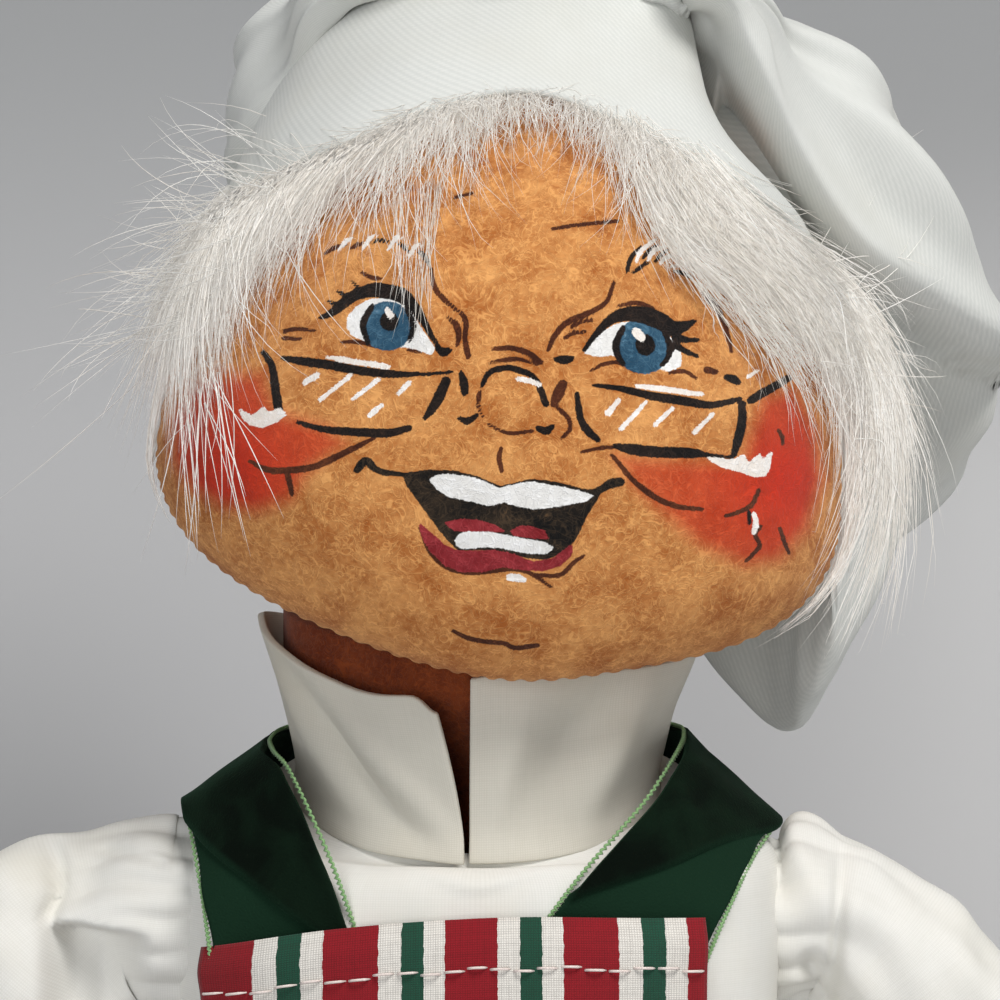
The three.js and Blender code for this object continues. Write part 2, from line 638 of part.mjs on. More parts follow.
function buildLeg(side) {
  const name = sideName(side);
  const hip = new THREE.Group();
  hip.name = `${name}_hip_pivot`;
  hip.position.copy(hipPlace(side));
  const rim = -THIGH_LENGTH + KNEE_BALL + TURN_GAP;
  const trouser = limbProfile(HIP_BALL, [[THIGH_RADIUS, rim * 0.4], [THIGH_RADIUS - 0.7, rim]], 3);
  hip.add(piece(`${name}_thigh_trouser`, cup(trouser, FELT), redFelt));
  const thighTop = HIP_BALL - FELT - GAP;
  const thigh = stuffedLimb(thighTop, [[THIGH_RADIUS * 0.72, rim]], thighTop / 2);
  hip.add(piece(`${name}_thigh_felt`, thigh, muslin));
  hip.add(piece(`${name}_thigh_wire`, rod(rim, thighTop / 2 - WIRE_GAP), wire));

  const knee = new THREE.Group();
  knee.name = `${name}_knee_pivot`;
  knee.position.z = -THIGH_LENGTH;
  hip.add(knee);
  const calf = -SHIN_LENGTH * 0.45;
  const shin = limbProfile(KNEE_BALL, [[CALF_RADIUS, calf], [ANKLE_RADIUS, -SHIN_LENGTH]], 3);
  knee.add(piece(`${name}_shin_trouser`, cup(shin, FELT), redFelt));
  const shinTop = KNEE_BALL - FELT - GAP;
  const shinBelow = [[CALF_RADIUS * 0.7, calf], [ANKLE_RADIUS * 0.7, -SHIN_LENGTH]];
  knee.add(piece(`${name}_shin_felt`, stuffedLimb(shinTop, shinBelow, shinTop / 2), muslin));
  knee.add(piece(`${name}_shin_wire`, rod(-SHIN_LENGTH, shinTop / 2 - WIRE_GAP), wire));
  buildShoe(name).forEach((part) => knee.add(part));
  return hip;
}

// A shoe under the shin, its toe to the front.
function buildShoe(name) {
  const floor = -SHIN_LENGTH - ankleHeight;
  const heel = SOLE_LENGTH * (1 - TOE_SHARE);
  const outline = (share) => angles(AROUND_BODY).map((a) => {
    const toe = Math.cos(a) > 0;
    const wide = SOLE_HALF_WIDTH * (toe ? 1 : lerp(1, 0.84, -Math.cos(a)));
    const long = toe ? SOLE_LENGTH * TOE_SHARE : heel;
    return [wide * roundShare(Math.sin(a), 2.3) * share, -long * roundShare(Math.cos(a), 2.3) * share];
  });
  const shape = new THREE.Shape(outline(1).map(([x, y]) => new THREE.Vector2(x, y)));
  const sole = new THREE.ExtrudeGeometry(shape, { depth: SOLE_THICKNESS, bevelEnabled: false });
  const upperFloor = floor + SOLE_THICKNESS + GAP;
  const upperTable = [
    [0, 0.96, 0], [0.25, 0.95, 0], [0.5, 0.82, 0.12], [0.72, 0.62, 0.5], [0.88, 0.5, 0.85], [1, 0.45, 1],
  ];
  const ankleRing = flatRing(ANKLE_RADIUS, 0);
  const upper = loft([0, 0.25, 0.42, 0.58, 0.74, 1].map((t) => {
    const [share, toAnkle] = readTable(upperTable, t);
    const height = upperFloor + SHOE_HEIGHT * t;
    return outline(share).map(([x, y], i) =>
      point(lerp(x, ankleRing[i].x, toAnkle), lerp(y, ankleRing[i].y, toAnkle), height));
  }));
  return [
    piece(`${name}_shoe_upper`, upper, blackFelt),
    piece(`${name}_shoe_sole`, sole.translate(0, 0, floor), shoeSole),
  ];
}

// The head about the neck pivot. Its seam runs round the face's outline, and a dome closes it at front
// and back.
function seamPoint(angle, out) {
  const [across, up] = [Math.cos(angle), Math.sin(angle)];
  const rise = up > 0 ? CROWN_RISE : CHIN_DROP;
  const round = up > 0 ? CROWN_ROUNDNESS : JAW_ROUNDNESS;
  const height = roundShare(up, round);
  const reach = up > 0
    ? lerp(CHEEK_SEAM_REACH, CROWN_SEAM_REACH, height)
    : lerp(CHEEK_SEAM_REACH, CHIN_SEAM_REACH, Math.abs(height) ** 1.5);
  const x = (FACE_HALF_WIDTH + out) * roundShare(across, round);
  return point(x, -reach, CHEEK_HEIGHT + (rise + out) * height);
}

// Turn 0 is the seam and a quarter turn is the middle of the face, or of the back of the head.
function headPoint(angle, turn, out, front) {
  const seam = seamPoint(angle, out);
  const pole = front
    ? point(0, -FACE_REACH - out, CHEEK_HEIGHT + FACE_POLE_RISE)
    : point(0, NAPE_REACH + out, CHEEK_HEIGHT + NAPE_POLE_RISE);
  const spread = Math.cos(turn) ** HEAD_FULLNESS;
  const depth = 1 - Math.sin(turn) ** (2 - HEAD_FULLNESS);
  return point(seam.x * spread, lerp(pole.y, seam.y, depth), lerp(pole.z, seam.z, spread));
}

const headRing = (turn, out, front) => angles(AROUND_HEAD).map((a) => headPoint(a, turn, out, front));
const headTurns = between(0, Math.PI / 2, CROWN_STEPS).slice(0, -1);
const headHalf = (out, front) => headTurns.map((turn) => headRing(turn, out, front));
const headForm = (out) => loft([...headHalf(out, true).reverse(), ...headHalf(out, false).slice(1)]);

// A half shell of the head, open at the seam.
const headShell = (inner, outer, front) =>
  loft([...headHalf(outer, front).reverse(), ...headHalf(inner, front)]);

// What lies above the hat band's lower edge, in the head's frame.
function aboveBand() {
  const reach = FACE_REACH + NAPE_REACH;
  return inHatFrame(new THREE.BoxGeometry(2 * reach, 2 * reach, reach).translate(0, 0, reach / 2 - GAP));
}

const inHatFrame = (geometry) => geometry.rotateX(-BAND_TILT).translate(0, BAND_SETBACK, BAND_LIFT);

function buildHead() {
  const head = new THREE.Group();
  head.name = "head_pivot";
  head.position.set(0, 0, neckPivot);
  head.rotation.y = HEAD_TILT;
  const socket = ball(NECK_BALL + TURN_GAP, point(0, 0, 0));
  head.add(piece("face_felt", cut(headShell(-FELT, 0, true), socket), skinFelt));
  const backShell = headShell(-FELT, 0, false).translate(0, GAP, 0);
  head.add(piece("head_back_felt", cut(backShell, socket), skinFelt));
  const wireLow = NECK_BALL + TURN_GAP;
  const wireHigh = CHEEK_HEIGHT + CROWN_RISE / 2;
  const bore = rod(0, wireHigh + WIRE_GAP, WIRE_RADIUS + WIRE_GAP);
  head.add(piece("head_stuffing", cut(headForm(-FELT - GAP), socket, bore), fibreFill));
  head.add(piece("head_wire", rod(wireLow, wireHigh), wire));

  const collarRoom = COLLAR_RADIUS + COLLAR_FLARE + COTTON + NAPE_CLEARANCE;
  const neckRoom = rod(-CHIN_DROP, CHEEK_HEIGHT - CHIN_DROP / 2, collarRoom);
  const wig = headShell(GAP, WIG_THICKNESS, false).translate(0, GAP, 0);
  head.add(piece("fur_wig", cut(wig, aboveBand(), neckRoom), fur));
  const fringe = patch((u, v, over) => {
    const angle = lerp(degToRad(-20), degToRad(200), u);
    const top = Math.max(0, Math.sin(angle)) ** 2.2;
    const turn = lerp(GAP / CHEEK_SEAM_REACH, lerp(FRINGE_REACH / FACE_HALF_WIDTH * 1.4, 0.98, top), v);
    return headPoint(angle, turn, LAY_GAP + over * FRINGE_THICKNESS * (1 - 0.7 * v), true);
  }, 22, 5);
  head.add(piece("fur_fringe", cut(fringe, aboveBand()), fur));
  head.add(piece("hat_band", hatBand(), hatCotton));
  head.add(piece("hat_crown", hatCrown(), hatCotton));
  return head;
}

// The hat band's outline at an angle from the front, towards the doll's left. It narrows upward.
const bandPoint = (angle, height, out) => {
  const inset = out - (BAND_TAPER * Math.min(height, BAND_HEIGHT)) / BAND_HEIGHT;
  const [halfWidth, halfDepth] = [BAND_HALF_WIDTH + inset, BAND_HALF_DEPTH + inset];
  return point(halfWidth * Math.sin(angle), -halfDepth * Math.cos(angle), height);
};
const bandRing = (height, out) => angles(AROUND_HEAD).map((a) => bandPoint(a, height, out));

function hatBand() {
  const rings = [[0, 0], [BAND_HEIGHT, 0], [BAND_HEIGHT, -COTTON], [0, -COTTON]];
  const band = loft(rings.map(([height, out]) => bandRing(height, out)), true);
  return cut(inHatFrame(band), headForm(GAP));
}

// The puffed crown: gathered on the band, sagging a little on the doll's right, and on its left falling
// far down behind the cheek, with a corner that stands out. Each spoke is rows of [reach, rise].
function hatCrown() {
  const bump = (angle, middle, spread) => {
    const away = Math.abs(Math.atan2(Math.sin(angle - middle), Math.cos(angle - middle))) / spread;
    return away < 1 ? Math.cos((away * Math.PI) / 2) ** 2 : 0;
  };
  const spokes = angles(3 * PUFF_FOLDS).map((angle) => {
    const big = bump(angle, PUFF_SIDE, PUFF_SWEEP);
    const small = bump(angle, PUFF_SMALL_SIDE, PUFF_SMALL_SWEEP);
    const sag = COTTON + LAY_GAP + PUFF_SAG * big + PUFF_SMALL_SAG * small;
    const out = PUFF_OVERHANG + PUFF_FOLD_DEPTH * Math.cos(angle * PUFF_FOLDS);
    const wide = PUFF_SPREAD * big;
    const top = BAND_HEIGHT + GAP;
    const rows = [
      [-0.6 * BAND_HALF_WIDTH, 0],
      [0, 0],
      [out * 0.3 + wide * 0.35, -sag * 0.5],
      [out * 0.5 + wide * 0.4, -sag],
      [out * 0.9 + wide * 0.55, -sag * 0.86],
      [out * 0.9 + wide * 0.72, -sag * 0.64],
      [out + wide, -sag * 0.42],
      [out * 0.9 + wide * 0.72, -sag * 0.14],
      [out * 0.9 + wide * 0.3, PUFF_RISE * 0.1],
      [-COTTON, PUFF_RISE * 0.6],
      [-BAND_HALF_WIDTH * 0.28, PUFF_RISE * 0.9],
      [-BAND_HALF_WIDTH * 0.58, PUFF_RISE],
    ];
    return rows.map(([reach, rise]) =>
      inHead(bandPoint(angle, top + Math.max(rise, 0), reach)).add(point(0, 0, Math.min(rise, 0))));
  });
  const crown = loft(spokes[0].map((_, row) => spokes.map((spoke) => spoke[row])));
  const bandLevels = [-PUFF_SAG, 0, BAND_HEIGHT + GAP / 2];
  const bandRoom = inHatFrame(loft(bandLevels.map((height) => bandRing(height, GAP))));
  return cut(crown, headForm(WIG_THICKNESS + GAP), bandRoom);
}

const inHead = (spot) =>
  spot.applyAxisAngle(point(1, 0, 0), -BAND_TILT).add(point(0, BAND_SETBACK, BAND_LIFT));

function buildNeck() {
  const neck = new THREE.Group();
  neck.name = "neck_pivot";
  neck.position.z = neckPivot;
  const bottom = -NECK_RISE + GAP + GAP;
  const cap = between(Math.PI / 2, 0, 6).map((a) => [NECK_BALL * Math.sin(a), NECK_BALL * Math.cos(a)]);
  const sides = [[0, bottom], [NECK_BALL * 0.92, bottom], [NECK_BALL * 0.97, bottom / 2]];
  const felt = turned([...sides, ...cap], AROUND_BODY);
  neck.add(piece("neck_felt", cut(felt, rod(bottom - GAP, 2 * NECK_BALL, NECK_BORE)), skinFelt));
  const stub = new THREE.Group();
  stub.rotation.y = HEAD_TILT;
  const [stubLow, stubHigh] = [2 * WIRE_GAP - NECK_BALL / 2, NECK_BALL + TURN_GAP - 2 * WIRE_GAP];
  stub.add(piece("neck_wire", rod(stubLow, stubHigh), wire));
  neck.add(stub);
  return neck;
}

const doll = new THREE.Group();
doll.add(buildTorso(), buildApron(), buildBow(), buildNeck(), buildHead());
bothSides((side) => doll.add(...buildArm(side), buildLeg(side)));

// Stand the doll over the middle of its outline box.
const middle = new THREE.Box3().setFromObject(doll, true).getCenter(point());
doll.position.set(-middle.x, -middle.y, 0);
const figure = new THREE.Group();
figure.add(doll);

export default figure;
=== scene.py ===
# %% [markdown]
# # A stuffed felt doll in a cook's hat
#
# The doll is sewn from wool felt, stuffed round a wire frame that bends, and dressed in white cotton,
# velvet ribbon and a striped apron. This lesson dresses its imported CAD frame, piece by piece.
# Every object is in metres, in the frame's own place, so nothing has to be fitted afterwards.

# %% Load the frame
import contextlib
import math

import bpy
import numpy as np
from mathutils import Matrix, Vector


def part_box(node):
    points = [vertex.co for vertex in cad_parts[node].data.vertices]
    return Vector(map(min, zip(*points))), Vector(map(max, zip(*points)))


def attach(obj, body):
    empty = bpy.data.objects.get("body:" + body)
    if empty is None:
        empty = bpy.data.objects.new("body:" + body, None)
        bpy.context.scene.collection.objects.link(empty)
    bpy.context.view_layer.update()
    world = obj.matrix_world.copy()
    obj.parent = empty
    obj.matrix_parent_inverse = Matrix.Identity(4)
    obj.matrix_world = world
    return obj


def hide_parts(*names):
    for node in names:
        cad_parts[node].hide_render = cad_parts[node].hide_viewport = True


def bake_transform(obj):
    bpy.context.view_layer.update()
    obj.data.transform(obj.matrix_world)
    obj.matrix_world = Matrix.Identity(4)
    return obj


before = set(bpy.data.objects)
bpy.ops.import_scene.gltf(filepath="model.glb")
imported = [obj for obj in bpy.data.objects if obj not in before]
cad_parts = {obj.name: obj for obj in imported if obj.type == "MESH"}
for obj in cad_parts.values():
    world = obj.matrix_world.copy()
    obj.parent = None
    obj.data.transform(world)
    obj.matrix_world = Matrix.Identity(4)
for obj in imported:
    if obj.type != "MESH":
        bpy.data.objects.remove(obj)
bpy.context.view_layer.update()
MM = 0.001
SIDES = ((1, "left"), (-1, "right"))
spine_low, spine_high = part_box("spine_wire")
FRONT = (spine_low.y + spine_high.y) / 2 / MM
print("doll's upright axis, mm behind the frame's middle:", round(FRONT, 3))

# %% [markdown]
# ## Camera
#
# The picture shows the head and shoulders from straight in front, at the height of the nose, with a long
# lens. The same numbers that place the camera also give a drawing plan, 1000 units wide, on which later
# cells draw the painted face and the flow of the hair. A plan point is then carried onto the head, so it
# stays there.

# %% Camera and drawing plan
PLAN = 1000
FOCUS = 3570
EYE = np.array((2.4, FRONT - 461.2, 285.0))

camera_data = bpy.data.cameras.new("camera")
camera_data.sensor_width = 36
camera_data.lens = camera_data.sensor_width * FOCUS / PLAN
camera = bpy.data.objects.new("camera", camera_data)
camera.location = EYE * MM
camera.rotation_euler = (math.pi / 2, 0, 0)
bpy.context.scene.collection.objects.link(camera)
bpy.context.scene.camera = camera


def plan_of(spots):
    """Where points in mm fall on the plan."""
    deep = spots[:, 1] - EYE[1]
    return np.stack((PLAN / 2 + FOCUS * (spots[:, 0] - EYE[0]) / deep,
                     PLAN / 2 - FOCUS * (spots[:, 2] - EYE[2]) / deep), axis=1)


print("lens:", round(camera_data.lens, 1), "mm")

# %% [markdown]
# ## Studio
#
# A pale floor runs up into a grey wall close behind the doll, and two large soft lamps stand in front of
# it. The stage is one plane whose back edge is extruded up and whose corner is rounded with a bevel. Its
# faces are clear from behind, so that the back of the doll can be looked at too. Its grey is painted darker
# high up and in a soft shadow of the doll low at the left, and lighter low at the right: painted shade,
# shadow and light.

# %% Floor and wall
bpy.context.scene.view_settings.view_transform = "Standard"


def only(obj):
    """Selects one object and makes it the active one."""
    bpy.ops.object.select_all(action="DESELECT")
    obj.select_set(True)
    bpy.context.view_layer.objects.active = obj
    return obj


@contextlib.contextmanager
def editing(obj, choose="SELECT"):
    """Opens a piece's mesh for editing with all or none of it chosen, and closes it again."""
    only(obj)
    bpy.ops.object.mode_set(mode="EDIT")
    bpy.ops.mesh.select_mode(type="EDGE" if choose == "DESELECT" else "VERT")
    bpy.ops.mesh.select_all(action=choose)
    yield
    bpy.ops.object.mode_set(mode="OBJECT")


def points_of(obj):
    """A piece's points, in its own units."""
    spots = np.empty(3 * len(obj.data.vertices))
    obj.data.vertices.foreach_get("co", spots)
    return spots.reshape(-1, 3)


def finish_with(obj, kind, **settings):
    """Adds a modifier and applies it."""
    made = obj.modifiers.new(kind.lower(), kind)
    for key, value in settings.items():
        setattr(made, key, value)
    only(obj)
    bpy.ops.object.modifier_apply(modifier=made.name)
    return obj


bpy.ops.object.select_all(action="DESELECT")
bpy.ops.mesh.primitive_plane_add(size=1)
stage = bpy.context.object
stage.name = stage.data.name = "studio_stage"
WALL, WALL_HIGH, FLOOR, COVE = 0.2, 1.5, 1.5, 0.08
for corner, place in zip(stage.data.vertices,
                         ((-FLOOR, -FLOOR), (FLOOR, -FLOOR), (-FLOOR, WALL), (FLOOR, WALL))):
    corner.co = (*place, 0)
with editing(stage, "DESELECT"):
    pass
for edge in stage.data.edges:
    edge.select = all(abs(stage.data.vertices[i].co.y - WALL) < 1e-6 for i in edge.vertices)
bpy.ops.object.mode_set(mode="EDIT")
bpy.ops.mesh.extrude_region_move(TRANSFORM_OT_translate={"value": (0, 0, WALL_HIGH)})
bpy.ops.object.mode_set(mode="OBJECT")
for edge in stage.data.edges:
    ends = [stage.data.vertices[i].co for i in edge.vertices]
    edge.select = all(abs(end.y - WALL) < 1e-6 and end.z < 1e-6 for end in ends)
bpy.ops.object.mode_set(mode="EDIT")
bpy.ops.mesh.bevel(offset=COVE, segments=10)
bpy.ops.object.mode_set(mode="OBJECT")
bpy.ops.object.shade_smooth()
print("stage faces:", len(stage.data.polygons))

# %% Lamps and world


def lamp(name, place, size, watts, tint=(1, 1, 1)):
    """A square soft lamp that points at the doll's chest."""
    data = bpy.data.lights.new(name, "AREA")
    data.size = size
    data.energy = watts
    data.color = tint
    made = bpy.data.objects.new(name, data)
    made.location = place
    made.rotation_euler = (Vector((0, 0, 0.27)) - made.location).to_track_quat("-Z", "Y").to_euler()
    bpy.context.scene.collection.objects.link(made)


lamp("key_lamp", (0.42, -0.72, 1.15), 0.5, 10.8, (1, 0.985, 0.96))
lamp("fill_lamp", (-0.45, -1.2, 0.16), 0.9, 9.5, (0.97, 0.98, 1))
lamp("top_lamp", (0.35, 0.05, 1.2), 0.6, 1.5)
world = bpy.data.worlds.new("studio_air")
world.use_nodes = True
world.node_tree.nodes["Background"].inputs["Color"].default_value = (0.8, 0.82, 0.85, 1)
world.node_tree.nodes["Background"].inputs["Strength"].default_value = 0.26
bpy.context.scene.world = world

# %% [markdown]
# ## Node helpers
#
# Every finish is made of nodes. Small helpers keep the wiring readable: one adds a node and fills its
# sockets, one does a sum, one mixes two colours, and so on. A dye is written as its screen colour, 0 to 255.
# The last helper dresses a piece: its finish, its slot, its body and the CAD nodes that it stands for.

# %% Wiring helpers


def add(tree, kind, inputs=None, **settings):
    """Adds a node. A socket among the inputs is linked, any other value is set."""
    made = tree.nodes.new("ShaderNode" + kind)
    for key, value in settings.items():
        setattr(made, key, value)
    for key, value in (inputs or {}).items():
        if isinstance(value, bpy.types.NodeSocket):
            tree.links.new(value, made.inputs[key])
        else:
            made.inputs[key].default_value = value
    return made


def calc(tree, operation, first, second=0.0, third=0.0):
    """The result of one sum."""
    return add(tree, "Math", {0: first, 1: second, 2: third}, operation=operation).outputs[0]


def ramp(tree, value, low, high, start=0.0, end=1.0):
    """A value's share of the way from low to high, smoothed, as a number from start to end."""
    sockets = {"Value": value, "From Min": low, "From Max": high, "To Min": start, "To Max": end}
    return add(tree, "MapRange", sockets, interpolation_type="SMOOTHSTEP").outputs["Result"]


def mixed(tree, share, first, second):
    """Two colours mixed."""
    return add(tree, "Mix", {0: share, 6: first, 7: second}, data_type="RGBA").outputs[2]


def speckle(tree, vector, scale, detail=2.0, twist=0.0):
    """Noise of a grain of about one over scale, in metres."""
    sockets = {"Vector": vector, "Scale": scale, "Detail": detail, "Distortion": twist}
    return add(tree, "TexNoise", sockets).outputs[0]


def dye(red, green, blue):
    """A screen colour as the light that it stands for."""
    light = [((c / 255 + 0.055) / 1.055) ** 2.4 if c > 10 else c / 3294.6 for c in (red, green, blue)]
    return (*light, 1.0)


def effect(name, inputs, outputs):
    """A new shader node group with named sockets."""
    tree = bpy.data.node_groups.new(name, "ShaderNodeTree")
    for socket, kind, value in inputs:
        made = tree.interface.new_socket(name=socket, in_out="INPUT", socket_type="NodeSocket" + kind)
        if value is not None:
            made.default_value = value
    for socket in outputs:
        tree.interface.new_socket(name=socket, in_out="OUTPUT", socket_type="NodeSocketFloat")
    return tree, tree.nodes.new("NodeGroupInput").outputs, tree.nodes.new("NodeGroupOutput").inputs


def finish(name, **sockets):
    """A new material, with its constant shader values. Gives the tree and the shader."""
    made = bpy.data.materials.new(name)
    made.use_nodes = True
    shader = made.node_tree.nodes["Principled BSDF"]
    for key, value in sockets.items():
        shader.inputs[key.replace("_", " ")].default_value = value
    return made, made.node_tree, shader


def use(tree, group, inputs):
    """Places a group in a material."""
    return add(tree, "Group", inputs, node_tree=group).outputs


def in_object(tree):
    """The place on the piece, in metres."""
    return add(tree, "TexCoord").outputs["Object"]


def stored(tree, name):
    """A number stored at the piece's points."""
    return add(tree, "Attribute", None, attribute_name=name).outputs["Fac"]


def stretched(tree, vector, stretch):
    """A place drawn out along its axes."""
    return add(tree, "VectorMath", {0: vector, 1: stretch}, operation="MULTIPLY").outputs[0]


def wire_up(tree, shader, colour, height=None, lift=0.1 * MM, strength=1.0, rough=None):
    """Links a finish's colour, relief and roughness to its shader."""
    tree.links.new(colour, shader.inputs["Base Color"])
    if rough is not None:
        tree.links.new(rough, shader.inputs["Roughness"])
    if height is not None:
        bump = add(tree, "Bump", {"Strength": strength, "Distance": lift, "Height": height})
        tree.links.new(bump.outputs[0], shader.inputs["Normal"])


def coat(obj, material):
    """Gives a piece its one finish."""
    obj.data.materials.clear()
    obj.data.materials.append(material)
    return obj


def dress(obj, material, body=None, nodes=()):
    """Gives a piece its finish, the body that it rides on and the CAD nodes that it stands for."""
    coat(obj, material)
    if body:
        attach(obj, body)
    if nodes:
        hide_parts(*nodes)
    return obj


print("helpers ready")

# %% Stage finish
stage_finish_painted_light, tree, shader = finish("studio_grey_painted_light", Roughness=0.9, Specular_IOR_Level=0.1)
where = in_object(tree)
patchy = speckle(tree, where, 3.0)
# Painted shade: the wall is painted darker higher up.
higher = ramp(tree, add(tree, "SeparateXYZ", {0: where}).outputs[2], 0.27, 0.4, 0.0, 0.55)
grey = mixed(tree, patchy, dye(182, 182, 183), dye(192, 192, 193))
grey = mixed(tree, higher, grey, dye(120, 123, 124))
sides = add(tree, "SeparateXYZ", {0: where}).outputs
# Painted shadow: a soft shadow of the doll, painted on the wall low at the left.
painted_doll_shadow = calc(tree, "MULTIPLY", ramp(tree, sides[0], -0.02, -0.09, 0.0, 1.0),
                ramp(tree, sides[2], 0.2, 0.3, 0.45, 0.0))
grey = mixed(tree, painted_doll_shadow, grey, dye(96, 97, 98))
# Painted light: the wall low at the right is painted lighter.
right = calc(tree, "MULTIPLY", ramp(tree, sides[0], 0.03, 0.1, 0.0, 0.45), ramp(tree, sides[2], 0.36, 0.28))
wire_up(tree, shader, mixed(tree, right, grey, dye(236, 236, 236)))
clear = add(tree, "BsdfTransparent").outputs[0]
behind = add(tree, "NewGeometry").outputs["Backfacing"]
both = add(tree, "MixShader", {0: behind, 1: shader.outputs[0], 2: clear}).outputs[0]
tree.links.new(both, tree.nodes["Material Output"].inputs["Surface"])
coat(stage, stage_finish_painted_light)
print("stage finish:", stage_finish_painted_light.name)

# %% [markdown]
# ## Shared effects
#
# Felt is a mat of wool fibres: fine grain with crooked lighter hairs in it. The hairs are the thin lines
# where a noise passes through its middle value. Woven cotton is a field of small bumps, or slanting ribs
# where it is twill, with slubs along the threads. Both effects are node groups, built once and placed in
# many finishes.

# %% Felt and weave groups
felt_mat, given, result = effect("felt_mat", [("Vector", "Vector", None)], ["Shade", "Height"])
grain = speckle(felt_mat, given["Vector"], 1100, 3.0, 0.6)
cloudy = speckle(felt_mat, given["Vector"], 220, 3.0)
hairs = []
for scale, twist in ((250, 2.6), (390, 2.0), (620, 2.4)):
    noise = speckle(felt_mat, given["Vector"], scale, 1.5, twist)
    line = calc(felt_mat, "ABSOLUTE", calc(felt_mat, "SUBTRACT", noise, 0.5))
    hairs.append(ramp(felt_mat, line, 0.0, 0.03, 1.0, 0.0))
hair = calc(felt_mat, "MAXIMUM", calc(felt_mat, "MAXIMUM", hairs[0], hairs[1]),
            calc(felt_mat, "MULTIPLY", hairs[2], 0.8))
ground = calc(felt_mat, "MULTIPLY_ADD", grain, 0.4, calc(felt_mat, "MULTIPLY", cloudy, 0.6))
felt_mat.links.new(calc(felt_mat, "MULTIPLY_ADD", hair, 0.15, calc(felt_mat, "MULTIPLY", ground, 0.86)),
                   result["Shade"])
felt_mat.links.new(calc(felt_mat, "MULTIPLY_ADD", hair, 0.3, calc(felt_mat, "MULTIPLY", grain, 0.6)),
                   result["Height"])

weave, given, result = effect(
    "weave", [("Vector", "Vector", None), ("Threads", "Float", 2600.0), ("Twill", "Float", 0.0)],
    ["Shade", "Height"])
split = add(weave, "SeparateXYZ", {0: given["Vector"]}).outputs
across, along = (calc(weave, "MULTIPLY", split[i], calc(weave, "MULTIPLY", given["Threads"], math.pi))
                 for i in (0, 1))
plain = calc(weave, "ABSOLUTE", calc(weave, "MULTIPLY", calc(weave, "SINE", across),
                                     calc(weave, "SINE", along)))
rib = calc(weave, "MULTIPLY_ADD", calc(weave, "SINE", calc(weave, "ADD", across, along)), 0.5, 0.5)
nubs = calc(weave, "SINE", calc(weave, "MULTIPLY", along, 2.0))
rib = calc(weave, "MULTIPLY", rib, calc(weave, "MULTIPLY_ADD", nubs, 0.25, 0.75))
cloth = add(weave, "Mix", {0: given["Twill"], 2: plain, 3: rib}).outputs[0]
slubs = [speckle(weave, stretched(weave, given["Vector"], stretch), 1.0, 2.0)
         for stretch in ((160, 2400, 1), (2400, 160, 1))]
slub = calc(weave, "MULTIPLY_ADD", slubs[0], 0.5, calc(weave, "MULTIPLY", slubs[1], 0.5))
weave.links.new(calc(weave, "MULTIPLY_ADD", cloth, 0.45, calc(weave, "MULTIPLY", slub, 0.6)),
                result["Shade"])
weave.links.new(calc(weave, "MULTIPLY_ADD", cloth, 0.7, calc(weave, "MULTIPLY", slub, 0.3)),
                result["Height"])
print("groups:", [g.name for g in bpy.data.node_groups])

# %% [markdown]
# ## Finishes
#
# Each finish is the shader plus a group with its own values: felts in tan, red and black, white twill and
# plain cotton, dark green velvet with a soft sheen, striped cotton, thread, fur and steel wire. Velvet
# looks darkest straight on and pale where the pile turns away, which the shader's sheen gives. Some light
# and shade is painted too: the neck's felt and the collar's cotton are darker copies for the shade under the
# head, the lower layer of the ribbon's fold is painted a paler green as a painted sheen, and the fur glows a
# little, a painted light for what passes through its strands.

# %% Felt finishes


def felt_finish(name, dark, light, sheen=0.25):
    """A felt of two shades of one dye."""
    made, tree, shader = finish(name, Roughness=0.95, Specular_IOR_Level=0.15, Sheen_Weight=sheen,
                                Sheen_Roughness=0.6)
    where = in_object(tree)
    mat = use(tree, felt_mat, {"Vector": where})
    wire_up(tree, shader, mixed(tree, ramp(tree, mat["Shade"], 0.22, 0.72), dark, light), mat["Height"],
            0.22 * MM, 0.8)
    return made


tan_felt = felt_finish("tan_felt", dye(176, 106, 52), dye(222, 160, 98), 0.1)
# The neck's finish is the tan felt painted darker and redder: painted shade, for the shadow under the chin.
neck_felt = felt_finish("neck_felt", dye(96, 36, 12), dye(144, 70, 32), 0.1)
red_felt = felt_finish("red_felt", dye(112, 16, 22), dye(164, 40, 44), 0.06)
black_felt = felt_finish("black_felt", dye(14, 13, 14), dye(38, 36, 35), 0.1)
sole_felt = felt_finish("sole_felt", dye(30, 24, 20), dye(60, 50, 42), 0.1)

# %% Cotton, velvet, thread, fur and wire finishes


def cotton_finish(name, dark, light, threads=2600.0, twill=0.0, lift=0.12, soil=None):
    """A woven cotton, its threads following the piece's own flat map, which is in metres."""
    made, tree, shader = finish(name, Roughness=0.88, Specular_IOR_Level=0.2, Sheen_Weight=0.12,
                                Sheen_Roughness=0.5)
    flat = add(tree, "UVMap").outputs[0]
    cloth = use(tree, weave, {"Vector": flat, "Threads": threads, "Twill": twill})
    colour = mixed(tree, ramp(tree, cloth["Shade"], 0.2, 0.75), dark, light)
    if soil:
        where = in_object(tree)
        colour = mixed(tree, ramp(tree, speckle(tree, where, 45, 4.0), 0.45, 0.8, 0.0, 0.6), colour, soil)
    wire_up(tree, shader, colour, cloth["Height"], lift * MM, 0.6)
    return made


hat_twill = cotton_finish("hat_twill", dye(206, 208, 204), dye(217, 218, 214), 1900.0, 1.0, 0.03,
                          dye(204, 203, 194))
blouse_cotton = cotton_finish("blouse_cotton", dye(222, 221, 215), dye(232, 231, 226), 3600.0, 0.0, 0.03,
                              dye(220, 216, 203))
# The collar's finish is the blouse's cotton painted darker and warmer: painted shade under the head.
collar_cotton_painted_shade = cotton_finish("collar_cotton_painted_shade", dye(204, 200, 187), dye(214, 210, 198), 3600.0, 0.0, 0.03,
                              dye(196, 188, 168))

